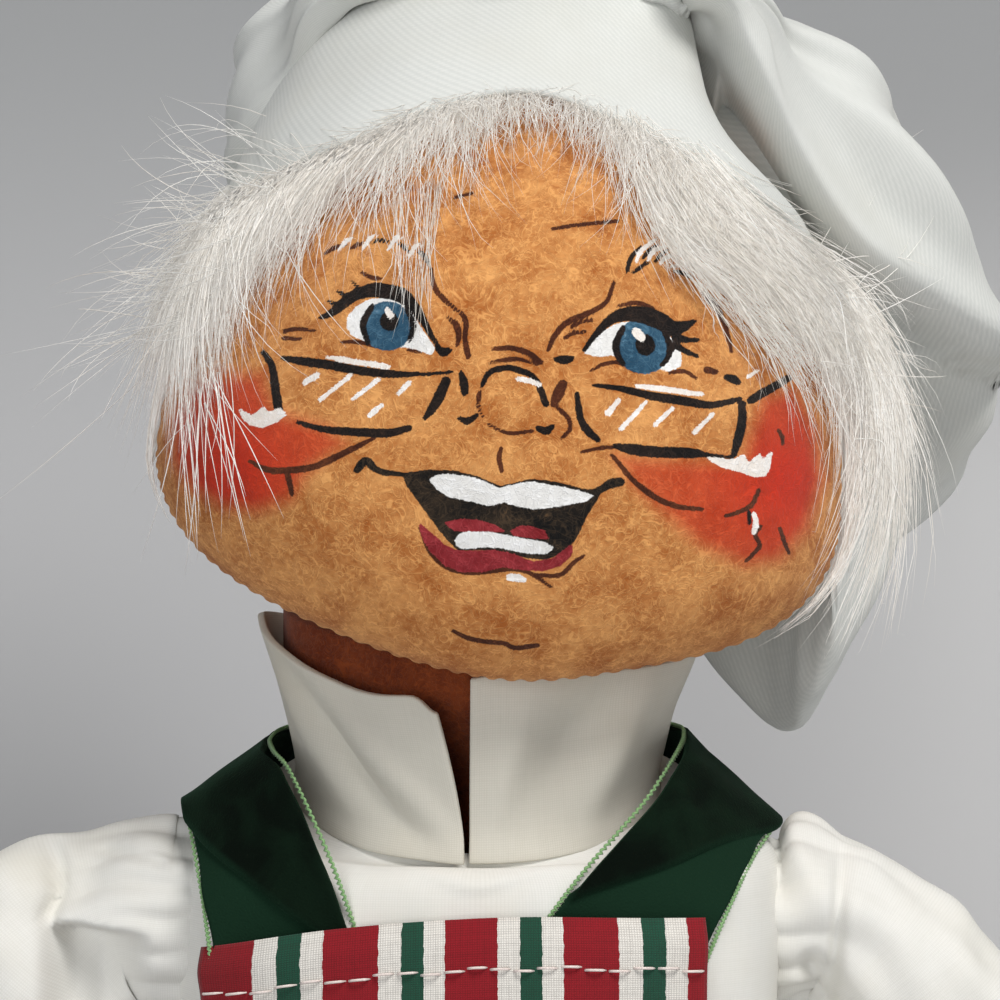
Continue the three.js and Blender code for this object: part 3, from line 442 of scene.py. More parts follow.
STRIPE = 14.2
STRIPE_START = -18.4
striped_cotton, tree, shader = finish("striped_cotton", Roughness=0.88, Specular_IOR_Level=0.2,
                                      Sheen_Weight=0.1, Sheen_Roughness=0.5)
flat = add(tree, "UVMap").outputs[0]
cloth = use(tree, weave, {"Vector": flat, "Threads": 3400.0, "Twill": 0.0})
waver = calc(tree, "MULTIPLY", calc(tree, "SUBTRACT", speckle(tree, flat, 900, 2.0), 0.5), 0.35 * MM)
sideways = calc(tree, "ADD", add(tree, "SeparateXYZ", {0: flat}).outputs[0], waver)
place = calc(tree, "MODULO", calc(tree, "SUBTRACT", sideways, (STRIPE_START - 5 * STRIPE) * MM),
             STRIPE * MM)
colour = dye(236, 232, 224)
for low, high, tint in ((0.0, 6.4, dye(148, 26, 36)), (9.1, 11.7, dye(30, 78, 60))):
    inside = calc(tree, "MULTIPLY", calc(tree, "GREATER_THAN", place, low * MM),
                  calc(tree, "LESS_THAN", place, high * MM))
    colour = mixed(tree, inside, colour, tint)
shaded = mixed(tree, ramp(tree, cloth["Shade"], 0.15, 0.75, 0.45, 0.0), colour, dye(40, 22, 20))
wire_up(tree, shader, shaded, cloth["Height"], 0.1 * MM, 0.6)

green_velvet, tree, shader = finish("green_velvet", Roughness=0.95, Specular_IOR_Level=0.08,
                                    Sheen_Weight=0.3, Sheen_Roughness=0.35)
shader.inputs["Sheen Tint"].default_value = dye(70, 120, 90)
where = in_object(tree)
cloudy = speckle(tree, where, 120, 5.0, 0.8)
pile = speckle(tree, where, 3600, 2.0)
# Painted sheen: where the stored share is 1, on the lower layer of the ribbon's fold, the velvet is painted
# a paler green.
pile_sheen_share = stored(tree, "painted_pile_sheen")
colour = mixed(tree, ramp(tree, cloudy, 0.35, 0.7), dye(5, 13, 7), dye(12, 28, 17))
wire_up(tree, shader, mixed(tree, pile_sheen_share, colour, dye(20, 44, 30)), pile, 0.2 * MM, 0.7)


def thread_finish(name, dark, light):
    """A twisted thread, its ply seen as slanting shade."""
    made, tree, shader = finish(name, Roughness=0.7, Specular_IOR_Level=0.3, Sheen_Weight=0.2)
    where = in_object(tree)
    ply = speckle(tree, where, 4200, 1.0, 1.0)
    wire_up(tree, shader, mixed(tree, ply, dark, light), ply, 0.08 * MM, 0.8)
    return made


picot_thread = thread_finish("picot_thread", dye(86, 140, 80), dye(168, 204, 146))
white_thread = thread_finish("white_thread", dye(214, 196, 188), dye(250, 240, 234))
tan_thread = thread_finish("tan_thread", dye(190, 126, 66), dye(226, 168, 104))

# The fur glows faintly: painted light that stands for light passing through its thin strands.
white_fur, tree, shader = finish("white_fur", Roughness=0.5, Specular_IOR_Level=0.35, Sheen_Weight=0.15,
                                 Emission_Strength=0.13)
tint = stored(tree, "tint")
where = in_object(tree)
lock = speckle(tree, where, 160, 3.0)
combed = speckle(tree, stretched(tree, where, (1500, 1500, 130)), 1.0, 3.0, 0.4)
tone = mixed(tree, tint, dye(198, 184, 166), dye(255, 254, 250))
tone = mixed(tree, ramp(tree, combed, 0.35, 0.65, 0.3, 0.0), tone, dye(190, 182, 170))
wire_up(tree, shader, mixed(tree, ramp(tree, lock, 0.3, 0.7, 0.2, 0.0), tone, dye(200, 190, 172)), combed,
        0.3 * MM, 0.8)

steel_wire, tree, shader = finish("steel_wire", Metallic=1.0, Roughness=0.4)
where = in_object(tree)
drawn = speckle(tree, stretched(tree, where, (3000, 3000, 120)), 1.0, 3.0)
wire_up(tree, shader, mixed(tree, drawn, dye(120, 122, 124), dye(196, 198, 200)), drawn, 0.02 * MM, 0.5,
        ramp(tree, drawn, 0.3, 0.7, 0.28, 0.5))
for name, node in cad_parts.items():
    if name.endswith("_wire"):
        coat(node, steel_wire)
print("finishes:", len(bpy.data.materials))

# %% [markdown]
# ## Laying cloth by a rule
#
# A cloth piece starts as a flat grid, as it does when cut, and each point of it is laid where a rule says.
# The grid brings a flat map with it, which is kept in metres, so that the weave has its true size
# everywhere. A tube is a grid whose two sides meet, and its doubles are merged.

# %% Grid helpers
DOUBLES = 0.02


def laid(name, across, along, place, size, ring=False):
    """A grid of points laid in mm by place(u, v). Its size in mm, flat, sets its map."""
    bpy.ops.object.select_all(action="DESELECT")
    bpy.ops.mesh.primitive_grid_add(x_subdivisions=across, y_subdivisions=along, size=1, calc_uvs=True)
    obj = bpy.context.object
    obj.name = obj.data.name = name
    flat = points_of(obj) + 0.5
    spots = place(flat[:, 0].copy(), flat[:, 1].copy())
    obj.data.vertices.foreach_set("co", (spots * MM).ravel())
    maps = np.empty(2 * len(obj.data.loops))
    obj.data.uv_layers[0].data.foreach_get("uv", maps)
    obj.data.uv_layers[0].data.foreach_set("uv", (maps.reshape(-1, 2) * np.array(size) * MM).ravel())
    if ring:
        with editing(obj):
            bpy.ops.mesh.remove_doubles(threshold=DOUBLES * MM)
    bpy.ops.object.shade_smooth()
    return obj


def outward(obj):
    """Turns a closed piece's faces outward."""
    with editing(obj):
        bpy.ops.mesh.normals_make_consistent(inside=False)
    return obj


def thick(obj, wall, offset=-1.0):
    """Gives a sheet its thickness in mm."""
    return finish_with(obj, "SOLIDIFY", thickness=wall * MM, offset=offset, use_even_offset=False)


def close_ends(obj):
    """Closes a tube's open rims, each with one face, then turns it outward."""
    with editing(obj, "DESELECT"):
        bpy.ops.mesh.select_non_manifold()
        bpy.ops.mesh.edge_face_add()
    return outward(obj)


def lerp(first, second, share):
    return first + (second - first) * share


def ease(value, low, high):
    share = np.clip((value - low) / (high - low), 0, 1)
    return share * share * (3 - 2 * share)


def ripple(spots, size, seed):
    """Soft waves of about a size in mm, from -1 to 1, the same on each run."""
    dice = np.random.default_rng(seed)
    waves = dice.normal(size=(9, 3))
    waves *= ((2 * np.pi / size) * dice.uniform(0.7, 1.5, (9, 1))
              / np.linalg.norm(waves, axis=1, keepdims=True))
    return np.cos(spots @ waves.T + dice.uniform(0, 6.28, 9)).sum(1) / 4.5


def hump(angle, middle, wide):
    """A smooth hump about a middle angle in degrees."""
    away = np.abs(np.angle(np.exp(1j * (angle - math.radians(middle))))) / math.radians(wide)
    return np.where(away < 1, np.cos(np.clip(away, 0, 1) * np.pi / 2) ** 2, 0)


def beside(plan, line):
    """Signed distance of plan points from a line that runs to the right: above 0 where they lie below it."""
    track = smooth_line(line, 40)
    best, side = np.full(len(plan), 1e9), np.zeros(len(plan))
    for start, end in zip(track[:-1], track[1:]):
        step = end - start
        share = np.clip(((plan - start) @ step) / (step @ step), 0, 1)
        off = plan - start - share[:, None] * step
        away = np.hypot(off[:, 0], off[:, 1])
        nearer = away < best
        best = np.where(nearer, away, best)
        side = np.where(nearer, np.sign(step[0] * off[:, 1] - step[1] * off[:, 0]), side)
    return best * side


def xyz(x, y, z):
    return np.stack(np.broadcast_arrays(np.asarray(x, float), y, z), axis=-1)


def read_rows(rows, place):
    """A smooth curve through rows of a place and its values."""
    rows = np.array(rows, float)
    spot, values = rows[:, 0], rows[:, 1:]
    count = np.arange(len(rows))
    low, high = np.maximum(count - 1, 0), np.minimum(count + 1, len(rows) - 1)
    slope = (values[high] - values[low]) / (spot[high] - spot[low])[:, None]
    place = np.clip(np.atleast_1d(place), spot[0], spot[-1])
    i = np.clip(np.searchsorted(spot, place), 1, len(rows) - 1)
    span = (spot[i] - spot[i - 1])[:, None]
    t = (place - spot[i - 1])[:, None] / span
    return ((2 * t**3 - 3 * t**2 + 1) * values[i - 1] + (t**3 - 2 * t**2 + t) * slope[i - 1] * span
            + (3 * t**2 - 2 * t**3) * values[i] + (t**3 - t**2) * slope[i] * span)


def smooth_line(points, count):
    """A smooth line through points, at even steps of its control points."""
    points = np.array(points, float)
    rows = np.column_stack((np.arange(len(points)), points))
    return read_rows(rows, np.linspace(0, len(points) - 1, count))


print("grid helpers ready")

# %% [markdown]
# ## The head's form
#
# The head is two felt shells sewn together round the face's outline. Its formulas are the CAD part's own: a
# seam line, a pole in front and one behind, and a dome between them. The head leans a little to the doll's
# left.

# %% Head formulas
NECK_PIVOT = np.array((0, FRONT, 259.1))
TILT = math.radians(4.4)
FACE_WIDE, CHIN_DROP, CROWN_RISE, CHEEK = 42.8, 24.7, 54.0, 29.0
# The middle of the face and of the back: its reach, and its height above the cheek line.
FACE_POLE, BACK_POLE = (-44, 5), (32, 17)


def rounded(value, power):
    return np.sign(value) * np.abs(value) ** (2 / power)


def seam_line(angle, out):
    """The seam round the face, in the head's own frame.
    Angle 0 is the doll's left cheek, a quarter turn its crown."""
    across, up = np.cos(angle), np.sin(angle)
    top = up > 0
    power = np.where(top, 2.0, 1.86)
    out = out + 2.4 * hump(angle, -33, 36) - 1.4 * hump(angle, -118, 42)
    height = rounded(up, power)
    reach = np.where(top, lerp(14, 2, height), lerp(14, 31, np.abs(height) ** 1.5))
    return xyz((FACE_WIDE + out) * rounded(across, power), -reach,
               CHEEK + (np.where(top, CROWN_RISE, CHIN_DROP) + out) * height)


def dome(spread):
    """How far a dome has fallen back from its pole, 0, to the seam, 1."""
    return 1 - np.sin(np.arccos(np.clip(spread, 0, 1) ** (1 / 0.82))) ** 1.18


def head_form(angle, spread, out, front=True):
    """A point of the head. Spread 1 is the seam, and 0 the middle of the face, or of the back."""
    seam = seam_line(angle, out)
    reach, high = FACE_POLE if front else BACK_POLE
    pole = reach - out if front else reach + out
    return xyz(seam[..., 0] * spread, lerp(pole, seam[..., 1], dome(spread)),
               lerp(CHEEK + high, seam[..., 2], spread))


def on_neck(spots):
    """From the head's frame to the doll's."""
    x, y, z = spots[..., 0], spots[..., 1], spots[..., 2]
    turned = xyz(x * math.cos(TILT) + z * math.sin(TILT), y, -x * math.sin(TILT) + z * math.cos(TILT))
    return turned + NECK_PIVOT


def from_neck(spots):
    """From the doll's frame to the head's."""
    x, y, z = np.moveaxis(spots - NECK_PIVOT, -1, 0)
    return xyz(x * math.cos(TILT) - z * math.sin(TILT), y, x * math.sin(TILT) + z * math.cos(TILT))


rim = seam_line(np.linspace(-np.pi, np.pi, 721), 0)


def depth_field(reach, high, way, skirt):
    """A rule for how deep one side of the head lies at points of its flat view, in the head's frame.
    Past the seam, skirt 1 lets the depth go on falling back a little."""
    up = rim[:, 2] - CHEEK - high
    order = np.argsort(np.arctan2(up, rim[:, 0]))
    turns, reaches, deeps = np.arctan2(up, rim[:, 0])[order], np.hypot(up, rim[:, 0])[order], rim[order, 1]

    def depth(x, z, out):
        turn = np.arctan2(z - CHEEK - high, x)
        edge = np.interp(turn, turns, reaches, period=2 * np.pi) + out
        seam = np.interp(turn, turns, deeps, period=2 * np.pi)
        spread = np.hypot(z - CHEEK - high, x) / edge
        past = np.minimum(np.maximum(spread - 1, 0) * edge * 0.5, 9)
        return lerp(reach + way * out, seam, dome(spread)) + skirt * past

    return depth


face_depth = depth_field(*FACE_POLE, -1, 1)


def over_head(plan, out):
    """Carries plan points onto the head, at a distance out from it."""
    plan = np.asarray(plan, float)
    y = np.full(plan.shape[:-1], -38.0)
    for _ in range(6):
        deep = y - EYE[1]
        x = EYE[0] + (plan[..., 0] - PLAN / 2) * deep / FOCUS
        z = EYE[2] - (plan[..., 1] - PLAN / 2) * deep / FOCUS
        inside = from_neck(xyz(x, y, z))
        y = face_depth(inside[..., 0], inside[..., 2], out) + NECK_PIVOT[1]
    return xyz(x, y, z)


print("chin on the plan:", plan_of(on_neck(seam_line(np.array([-np.pi / 2]), 0))))

# %% [markdown]
# ## The painted face
#
# The face is drawn by hand on the felt with thin paint: brown and black lines, white eyes and teeth, blue
# irises, red lips and rouged cheeks. Each stroke is a line with a width, or a closed shape, on the drawing
# plan. For every point of the face, the distance to the nearest edge of each paint is stored as an
# attribute, and the finish fills where that distance is inside. That keeps edges crisp on a mesh of
# moderate size.

# %% Strokes of the brush
# For each paint: a half width, then points across and down the plan. A half width may be a list, one for
# each point. A shape that is filled has none.
BRUSH = {
    "brown": [
        ([1.5, 2.4, 2.6, 1.6], [(431, 268), (435, 288), (446, 301), (462, 314)]),
        ([1.8, 2.6, 2.4, 2.8, 2], [(460, 312), (466, 321), (465, 338), (468, 355), (469, 357)]),
        ([1.5, 3, 2.6, 1.2], [(447, 317), (456, 325), (459, 338), (457, 346)]),
        ([1.5, 2.2, 2.6, 2.8, 2.6, 2], [(614, 282), (607, 301), (593, 311), (568, 322), (555, 335),
          (548, 350)]),
        (1.7, [(571, 327), (582, 322), (592, 320)]),
        (1.7, [(565, 338), (574, 333), (585, 332)]),
        ([1.5, 2.2, 1.5], [(361, 272), (370, 277), (381, 279)]),
        ([1.4, 2, 2, 1.4], [(618, 306), (633, 303), (648, 306), (661, 315)]),
        ([2, 1.8, 1.2], [(284, 331), (298, 329), (316, 331)]),
        ([2, 1.4], [(284, 338), (301, 339)]),
        ([1.2, 2, 2, 1.6], [(341, 342), (359, 342), (376, 346), (392, 350)]),
        ([1.6, 1.4], [(408, 350), (422, 352)]),
        ([1.2, 1.8, 1.8, 1.4], [(591, 371), (604, 364), (620, 363), (635, 372)]),
        ([1.4, 2, 1.4], [(669, 373), (684, 371), (696, 378)]),
        ([2, 3.6, 2.4, 1.8, 1.6], [(703, 292), (713, 303), (723, 320), (729, 340), (732, 352)]),
        ([3.5, 2.4], [(707, 370), (716, 372)]),
        ([1.6, 1.8, 1.6], [(552, 229), (578, 225), (618, 221)]),
        ([1.8, 1.4], [(455, 197), (473, 193)]),
        ([1.5, 2.4, 2.6, 2], [(492, 349), (510, 348), (529, 353), (542, 363)]),
        ([1.5, 2.2, 1.5], [(490, 363), (515, 359), (537, 364)]),
        ([2, 2, 1.6], [(480, 392), (478, 404), (483, 417)]),
        ([1.3, 1.8, 1.5], [(488, 424), (508, 433), (533, 431)]),
        ([1.6, 2.4, 2], [(501, 448), (499, 459), (502, 471)]),
        ([1.8, 2.2, 1.8, 1.6], [(557, 407), (568, 418), (570, 429), (562, 438)]),
        ([4.5, 5.5, 2.5], [(563, 384), (558, 394), (553, 405)]),
        ([1.6, 2.2, 2.6, 2.8, 2.2, 1.6], [(612, 455), (621, 466), (636, 483), (658, 499), (680, 507),
          (702, 509)]),
        ([1.4, 1.8, 1.4], [(582, 452), (600, 448), (618, 447)]),
        ([1.6, 2.2, 2.2, 1.8, 1.4], [(759, 490), (753, 503), (746, 509), (733, 514), (725, 516)]),
        ([1.8, 2.2, 2.2, 2, 1.4], [(761, 526), (755, 534), (759, 543), (758, 549), (746, 561)]),
        ([1.6, 2, 1.6], [(780, 528), (784, 541), (789, 553)]),
        ([1.5, 2, 1.4], [(778, 430), (782, 437), (783, 444)]),
        ([3, 2], [(288, 476), (292, 494)]),
        ([1.5, 2.8, 3.2, 3, 3.2, 2.4, 1.5], [(250, 461), (268, 470), (294, 470), (316, 466), (338, 456),
          (360, 445), (374, 438)]),
        ([1.6, 2.2, 2.2, 2, 2.2, 1.6], [(453, 631), (468, 638), (487, 642), (503, 643), (516, 648),
          (538, 645)]),
        ([1.4, 1.8, 2, 1.8, 2.6, 2.2, 2, 1.4], [(420, 528), (430, 552), (446, 567), (467, 573),
          (490, 571), (512, 569), (530, 573), (551, 587)]),
        ([1.5, 2, 2, 1.4], [(536, 575), (560, 575), (573, 563), (584, 556)]),
        ([1.2, 2.2, 1.4], [(325, 254), (334, 248), (346, 245)]),
        ([1.2, 2.4, 1.4], [(350, 249), (357, 245), (365, 243)]),
    ],
    "dark": [
        (None, [(404, 474), (428, 471), (455, 472), (476, 477), (492, 484), (501, 487), (514, 484),
          (534, 480), (561, 484), (586, 491), (600, 493), (588, 512), (577, 534), (567, 550), (546, 559),
          (522, 556), (503, 551), (480, 549), (459, 550), (449, 540), (436, 524), (422, 505), (407, 484)]),
        ([3.5, 4, 3, 2], [(357, 470), (366, 461), (379, 471), (406, 475)]),
        ([1.8, 3, 4.4, 4.4], [(584, 492), (598, 491), (610, 484), (620, 482)]),
    ],
    "red": [
        (None, [(420, 525), (430, 533), (443, 545), (455, 551), (473, 552), (494, 551), (514, 555),
          (533, 563), (554, 559), (571, 546), (571, 555), (560, 565), (544, 570), (523, 569), (503, 566),
          (483, 571), (462, 571), (446, 565), (432, 552), (423, 537)]),
        (None, [(446, 523), (460, 520), (477, 521), (492, 525), (503, 531), (483, 532), (455, 530)]),
        (None, [(512, 531), (520, 527), (530, 527), (544, 532), (547, 538), (530, 537), (514, 535)]),
    ],
    "white": [
        (None, [(431, 480), (437, 476), (447, 475), (466, 477), (483, 482), (499, 489), (516, 485),
          (534, 483), (561, 488), (580, 492), (592, 496), (585, 500), (561, 505), (535, 508), (520, 506),
          (504, 501), (489, 505), (471, 500), (450, 496), (438, 489)]),
        (None, [(456, 540), (459, 535), (467, 533), (491, 533), (520, 539), (544, 543), (552, 548),
          (546, 553), (524, 552), (503, 547), (483, 546), (463, 548), (457, 545)]),
        (None, [(348, 327), (349, 317), (357, 307), (371, 300), (390, 299), (408, 306), (420, 328),
          (434, 348), (431, 354), (418, 349), (405, 346), (380, 346), (362, 339), (352, 334)]),
        (None, [(584, 352), (598, 335), (616, 325), (640, 321), (664, 330), (675, 345), (680, 352),
          (680, 366), (668, 370), (655, 366), (630, 362), (612, 354), (600, 356)]),
    ],
    "iris": [
        (24.5, [(387, 326), (387.5, 326)]),
        (27.5, [(643, 346), (643.5, 346)]),
    ],
    "black": [
        ([2.6, 3.2, 2.6], [(372, 306), (363, 324), (368, 343)]),
        ([2.2, 2.8, 2.2], [(407, 310), (413, 326), (409, 341)]),
        (9.0, [(389, 321), (389.5, 322)]),
        ([2.4, 3.6, 3.2, 2], [(623, 328), (616, 343), (618, 356), (624, 364)]),
        ([2.2, 3, 2.6, 1.8], [(664, 332), (670, 346), (668, 357), (662, 365)]),
        (9.5, [(645, 344), (645.5, 346)]),
        ([1.6, 4, 5, 5.5, 7, 7.5, 7, 5, 3.6, 2.6, 2], [(320, 318), (333, 312), (345, 302), (358, 294),
          (374, 290), (390, 292), (404, 297), (415, 308), (424, 322), (432, 337), (438, 345)]),
        ([1.4, 2.6], [(328, 301), (341, 308)]),
        ([1.4, 2.6], [(337, 291), (351, 299)]),
        ([1.4, 2.4], [(352, 281), (361, 291)]),
        ([3, 4.6, 2.4], [(438, 349), (444, 352), (450, 350)]),
        ([2, 3, 5, 7, 8.5, 8.5, 7.5, 5, 1.6], [(584, 350), (597, 333), (612, 319), (628, 314), (644, 315),
          (660, 321), (672, 328), (684, 326), (695, 321)]),
        ([4.5, 2.6, 1.6], [(676, 337), (687, 340), (698, 340)]),
        ([3.6, 2.4, 1.6], [(677, 346), (687, 352), (697, 356)]),
        ([2.5, 4.4, 2.5], [(556, 359), (564, 360), (572, 359)]),
        ([3, 4.4, 3], [(727, 377), (733, 379), (738, 382)]),
        ([2, 4, 4.4, 4.2, 3.6, 1.6, 1.4], [(283, 358), (300, 361), (330, 365), (356, 370), (390, 374),
          (425, 374), (452, 372)]),
        ([2.5, 3.6, 4.4, 4], [(263, 352), (272, 367), (276, 394), (279, 413)]),
        ([1.8, 3, 4, 4.2, 3], [(297, 422), (322, 429), (354, 432), (388, 433), (409, 428)]),
        ([4.5, 5.4, 4, 2], [(446, 381), (439, 397), (431, 410), (425, 418)]),
        ([2, 4.4, 3.4], [(461, 372), (464, 383), (465, 393)]),
        ([2, 2.6, 2.8, 2.8, 2.6, 3.2], [(482, 386), (489, 373), (504, 368), (522, 371), (536, 380),
          (546, 404)]),
        ([1.8, 3.4, 2], [(459, 418), (468, 421), (477, 415)]),
        ([2.5, 4, 2], [(538, 428), (546, 431), (553, 426)]),
        ([1.6, 3, 4, 4.4, 3.4, 2.2], [(593, 385), (622, 389), (652, 396), (684, 401), (711, 405),
          (740, 399)]),
        ([3.5, 4.4, 4.4, 3], [(742, 404), (742, 422), (738, 440), (734, 454)]),
        ([3.6, 4.2, 3.2], [(751, 400), (770, 389), (789, 378)]),
        ([2, 5, 5.4, 5, 2, 1.6], [(614, 446), (630, 449), (655, 452), (690, 453), (708, 455),
          (733, 458)]),
        ([2, 3.2, 3.4, 4, 2.4], [(577, 394), (579, 410), (582, 422), (589, 432), (598, 440)]),
        ([2, 2], [(749, 512), (749.5, 523)]),
        ([1.4, 2.2, 1.4], [(627, 272), (631, 258), (641, 247)]),
        ([1.2, 2, 1.4], [(632, 273), (641, 267), (648, 262)]),
        ([1.4, 2.2, 1.2], [(643, 258), (650, 250), (657, 245)]),
        ([1.4, 2.2, 1.2], [(655, 262), (662, 254), (668, 250)]),
        ([1.2, 2.2, 1.4], [(674, 271), (683, 273), (692, 278)]),
        ([1.2, 2.2, 1.4], [(371, 243), (380, 240), (391, 243)]),
        ([1.4, 2.4, 1.4], [(397, 243), (404, 247), (410, 254)]),
        ([1.4, 2.8, 1.4], [(417, 250), (424, 256), (430, 266)]),
    ],
    "glint": [
        ([2.2, 3.2], [(387, 309), (391, 316)]),
        ([4, 4.6, 3.5], [(636, 332), (639, 335), (642, 338)]),
        ([1.6, 2.6, 2.4, 2.6, 1.8], [(327, 357), (345, 360), (362, 363), (378, 365), (389, 367)]),
        ([1.6, 2.6, 2.6, 2.4, 1.6], [(636, 386), (655, 388), (672, 390), (690, 393), (702, 394)]),
        ([2.2, 3], [(304, 383), (317, 375)]),
        ([1.7, 2], [(320, 400), (351, 375)]),
        ([1.7, 2], [(353, 399), (379, 379)]),
        ([1.7, 2.4], [(398, 394), (409, 383)]),
        ([2.6, 1.8], [(370, 415), (382, 405)]),
        ([3, 2], [(608, 413), (619, 400)]),
        ([2, 1.8], [(621, 429), (646, 402)]),
        ([2, 1.8], [(655, 425), (673, 408)]),
        ([2, 1.8], [(694, 433), (713, 414)]),
        ([1.8, 2.4, 2], [(517, 379), (530, 381), (540, 385)]),
        ([2, 2.8, 2], [(754, 514), (756, 523), (753.5, 533)]),
        ([1.2, 2.2, 1.4], [(636, 262), (641, 251), (655, 240)]),
        ([1.2, 2.2, 1.4], [(648, 260), (654, 251), (666, 246)]),
        ([1.2, 2.2, 1.4], [(660, 264), (666, 257), (675, 255)]),
        ([1.2, 1.8], [(670, 267), (684, 264)]),
        ([1.2, 2, 1.2], [(338, 252), (346, 241), (354, 238)]),
        ([1.2, 2, 1.2], [(362, 250), (370, 238), (378, 235)]),
        ([1.2, 2, 1.2], [(388, 250), (396, 238), (404, 238)]),
        ([1.2, 2, 1.2], [(408, 258), (416, 246), (424, 246)]),
        ([3.4, 3.6, 2.4], [(510, 577), (517, 578), (524, 580)]),
        (None, [(708, 458), (732, 461), (743, 456), (749, 464), (760, 455), (762, 463), (771, 453),
          (769, 468), (765, 475), (754, 476), (740, 471), (721, 466)]),
        (None, [(240, 410), (252, 417), (263, 408), (268, 414), (279, 409), (285, 414), (277, 421),
          (262, 427), (250, 424), (243, 418)]),
        ([1.6, 1.6], [(748, 377), (757, 371)]),
    ],
}
print("strokes:", sum(len(strokes) for strokes in BRUSH.values()))

# %% Distance to each paint
FAR = 99.0


def line_depth(spots, points, half):
    """Signed distance to a brush line, below 0 in the paint."""
    half = np.broadcast_to(np.array(half, float), (len(points),))
    count = max(2, int(np.hypot(*np.diff(np.array(points, float), axis=0).T).sum() / 4) + 2)
    track = smooth_line(np.column_stack((points, half)), count)
    best = np.full(len(spots), FAR)
    for (ax, ay, aw), (bx, by, bw) in zip(track[:-1], track[1:]):
        step = np.array((bx - ax, by - ay))
        share = np.clip(((spots - (ax, ay)) @ step) / max(step @ step, 1e-9), 0, 1)
        away = np.hypot(spots[:, 0] - ax - share * step[0], spots[:, 1] - ay - share * step[1])
        best = np.minimum(best, away - lerp(aw, bw, share))
    return best


def shape_depth(spots, points):
    """Signed distance to a closed shape, below 0 inside."""
    loop = np.array(points, float)
    best, inside = np.full(len(spots), FAR), np.zeros(len(spots), bool)
    for (ax, ay), (bx, by) in zip(loop, np.roll(loop, -1, axis=0)):
        step = np.array((bx - ax, by - ay))
        share = np.clip(((spots - (ax, ay)) @ step) / (step @ step), 0, 1)
        best = np.minimum(best, np.hypot(spots[:, 0] - ax - share * step[0],
                                         spots[:, 1] - ay - share * step[1]))
        crosses = (ay > spots[:, 1]) != (by > spots[:, 1])
        lean = (bx - ax) * (spots[:, 1] - ay) / (by - ay if by != ay else 1)
        inside ^= crosses & (spots[:, 0] < lean + ax)
    return np.where(inside, -best, best) - 1.0


def painted(plan):
    """For each paint, how deep each plan point lies in it, as 0.5 at its edge and 1 well inside."""
    layers = {}
    for paint, strokes in BRUSH.items():
        layer = np.full(len(plan), FAR)
        for half, points in strokes:
            low, high = np.min(points, axis=0) - 40, np.max(points, axis=0) + 40
            near = np.flatnonzero(((plan > low) & (plan < high)).all(1))
            depth = (shape_depth(plan[near], points) if half is None
                     else line_depth(plan[near], points, half))
            layer[near] = np.minimum(layer[near], depth)
        layers[paint] = np.clip(0.5 - (layer - 0.5) / 8, 0, 1)
    return layers


CHEEKS = (
    ((188, 388), (222, 372), (262, 374), (274, 410), (330, 428), (346, 444), (308, 472), (290, 500),
     (255, 512), (220, 506), (190, 490), (172, 460), (170, 420)),
    ((616, 456), (742, 462), (762, 398), (795, 386), (816, 428), (823, 480), (808, 530), (780, 560),
     (745, 566), (700, 546), (660, 512), (632, 484)))


def rouge(plan):
    """How red each plan point is: two cheeks with soft edges, each strongest at its own place."""
    glow = [(1 - ease(shape_depth(plan, cheek), -16, 13))
            * (0.7 + 0.3 * np.exp(-(np.hypot(*(plan - heart).T) / 90) ** 2))
            for cheek, heart in zip(CHEEKS, ((225, 470), (785, 480)))]
    return np.maximum(*glow)


print("paints:", list(BRUSH))

# %% [markdown]
# ## Face and head
#
# The face starts as a square grid whose rings are rounded into the seam's outline, so that its points are
# about even all over. The sewn edge is drawn in by each stitch. The rim is then extruded inward and closed
# at a point, which makes the shell a body. The back of the head is a second shell, from rings that run out
# to the seam.

# %% Face shell
FACE_GRID, STITCHES = 308, 100


def round_plate(u, v):
    """Turns a square of points into a disc: angle and distance from the middle."""
    a, b = 2 * u - 1, 2 * v - 1
    wide = np.abs(a) > np.abs(b)
    reach = np.where(wide, a, b)
    safe = np.where(np.abs(reach) < 1e-12, 1, reach)
    angle = np.where(wide, np.pi / 4 * b / safe, np.pi / 2 - np.pi / 4 * a / safe)
    return np.where(reach < 0, angle + np.pi, angle), np.abs(reach)


def face_place(u, v):
    angle, reach = round_plate(u, v)
    spread = np.clip(1.25 * reach - 0.25 * reach**5, 0, 1)
    drawn = np.exp(-(((1 - reach) / 0.045) ** 2)) * (0.5 + 0.5 * np.cos(angle * STITCHES)) ** 2 * 0.5
    spots = head_form(angle, spread, 0.25 - drawn)
    spots[:, 1] -= 0.35 * ripple(spots, 24, 5)
    return on_neck(spots)


face = laid("painted_face", FACE_GRID, FACE_GRID, face_place, (100, 100))
with editing(face, "DESELECT"):
    bpy.ops.mesh.select_non_manifold()
    for inward in (0.9, 0.2):
        bpy.ops.mesh.extrude_region_move(TRANSFORM_OT_translate={"value": (0, inward * MM, 0)})
    bpy.ops.mesh.merge(type="CENTER")

plan = plan_of(points_of(face) / MM)
depths = painted(plan)
for name, channels in (("paint_lines", ("brown", "dark", "red", "white")),
                       ("paint_eyes", ("iris", "black", "glint"))):
    layer = face.data.attributes.new(name, "FLOAT_COLOR", "POINT")
    values = [depths[paint] for paint in channels] + ([rouge(plan)] if len(channels) == 3 else [])
    layer.data.foreach_set("color", np.stack(values, axis=1).astype(np.float32).ravel())
print("face faces:", len(face.data.polygons))

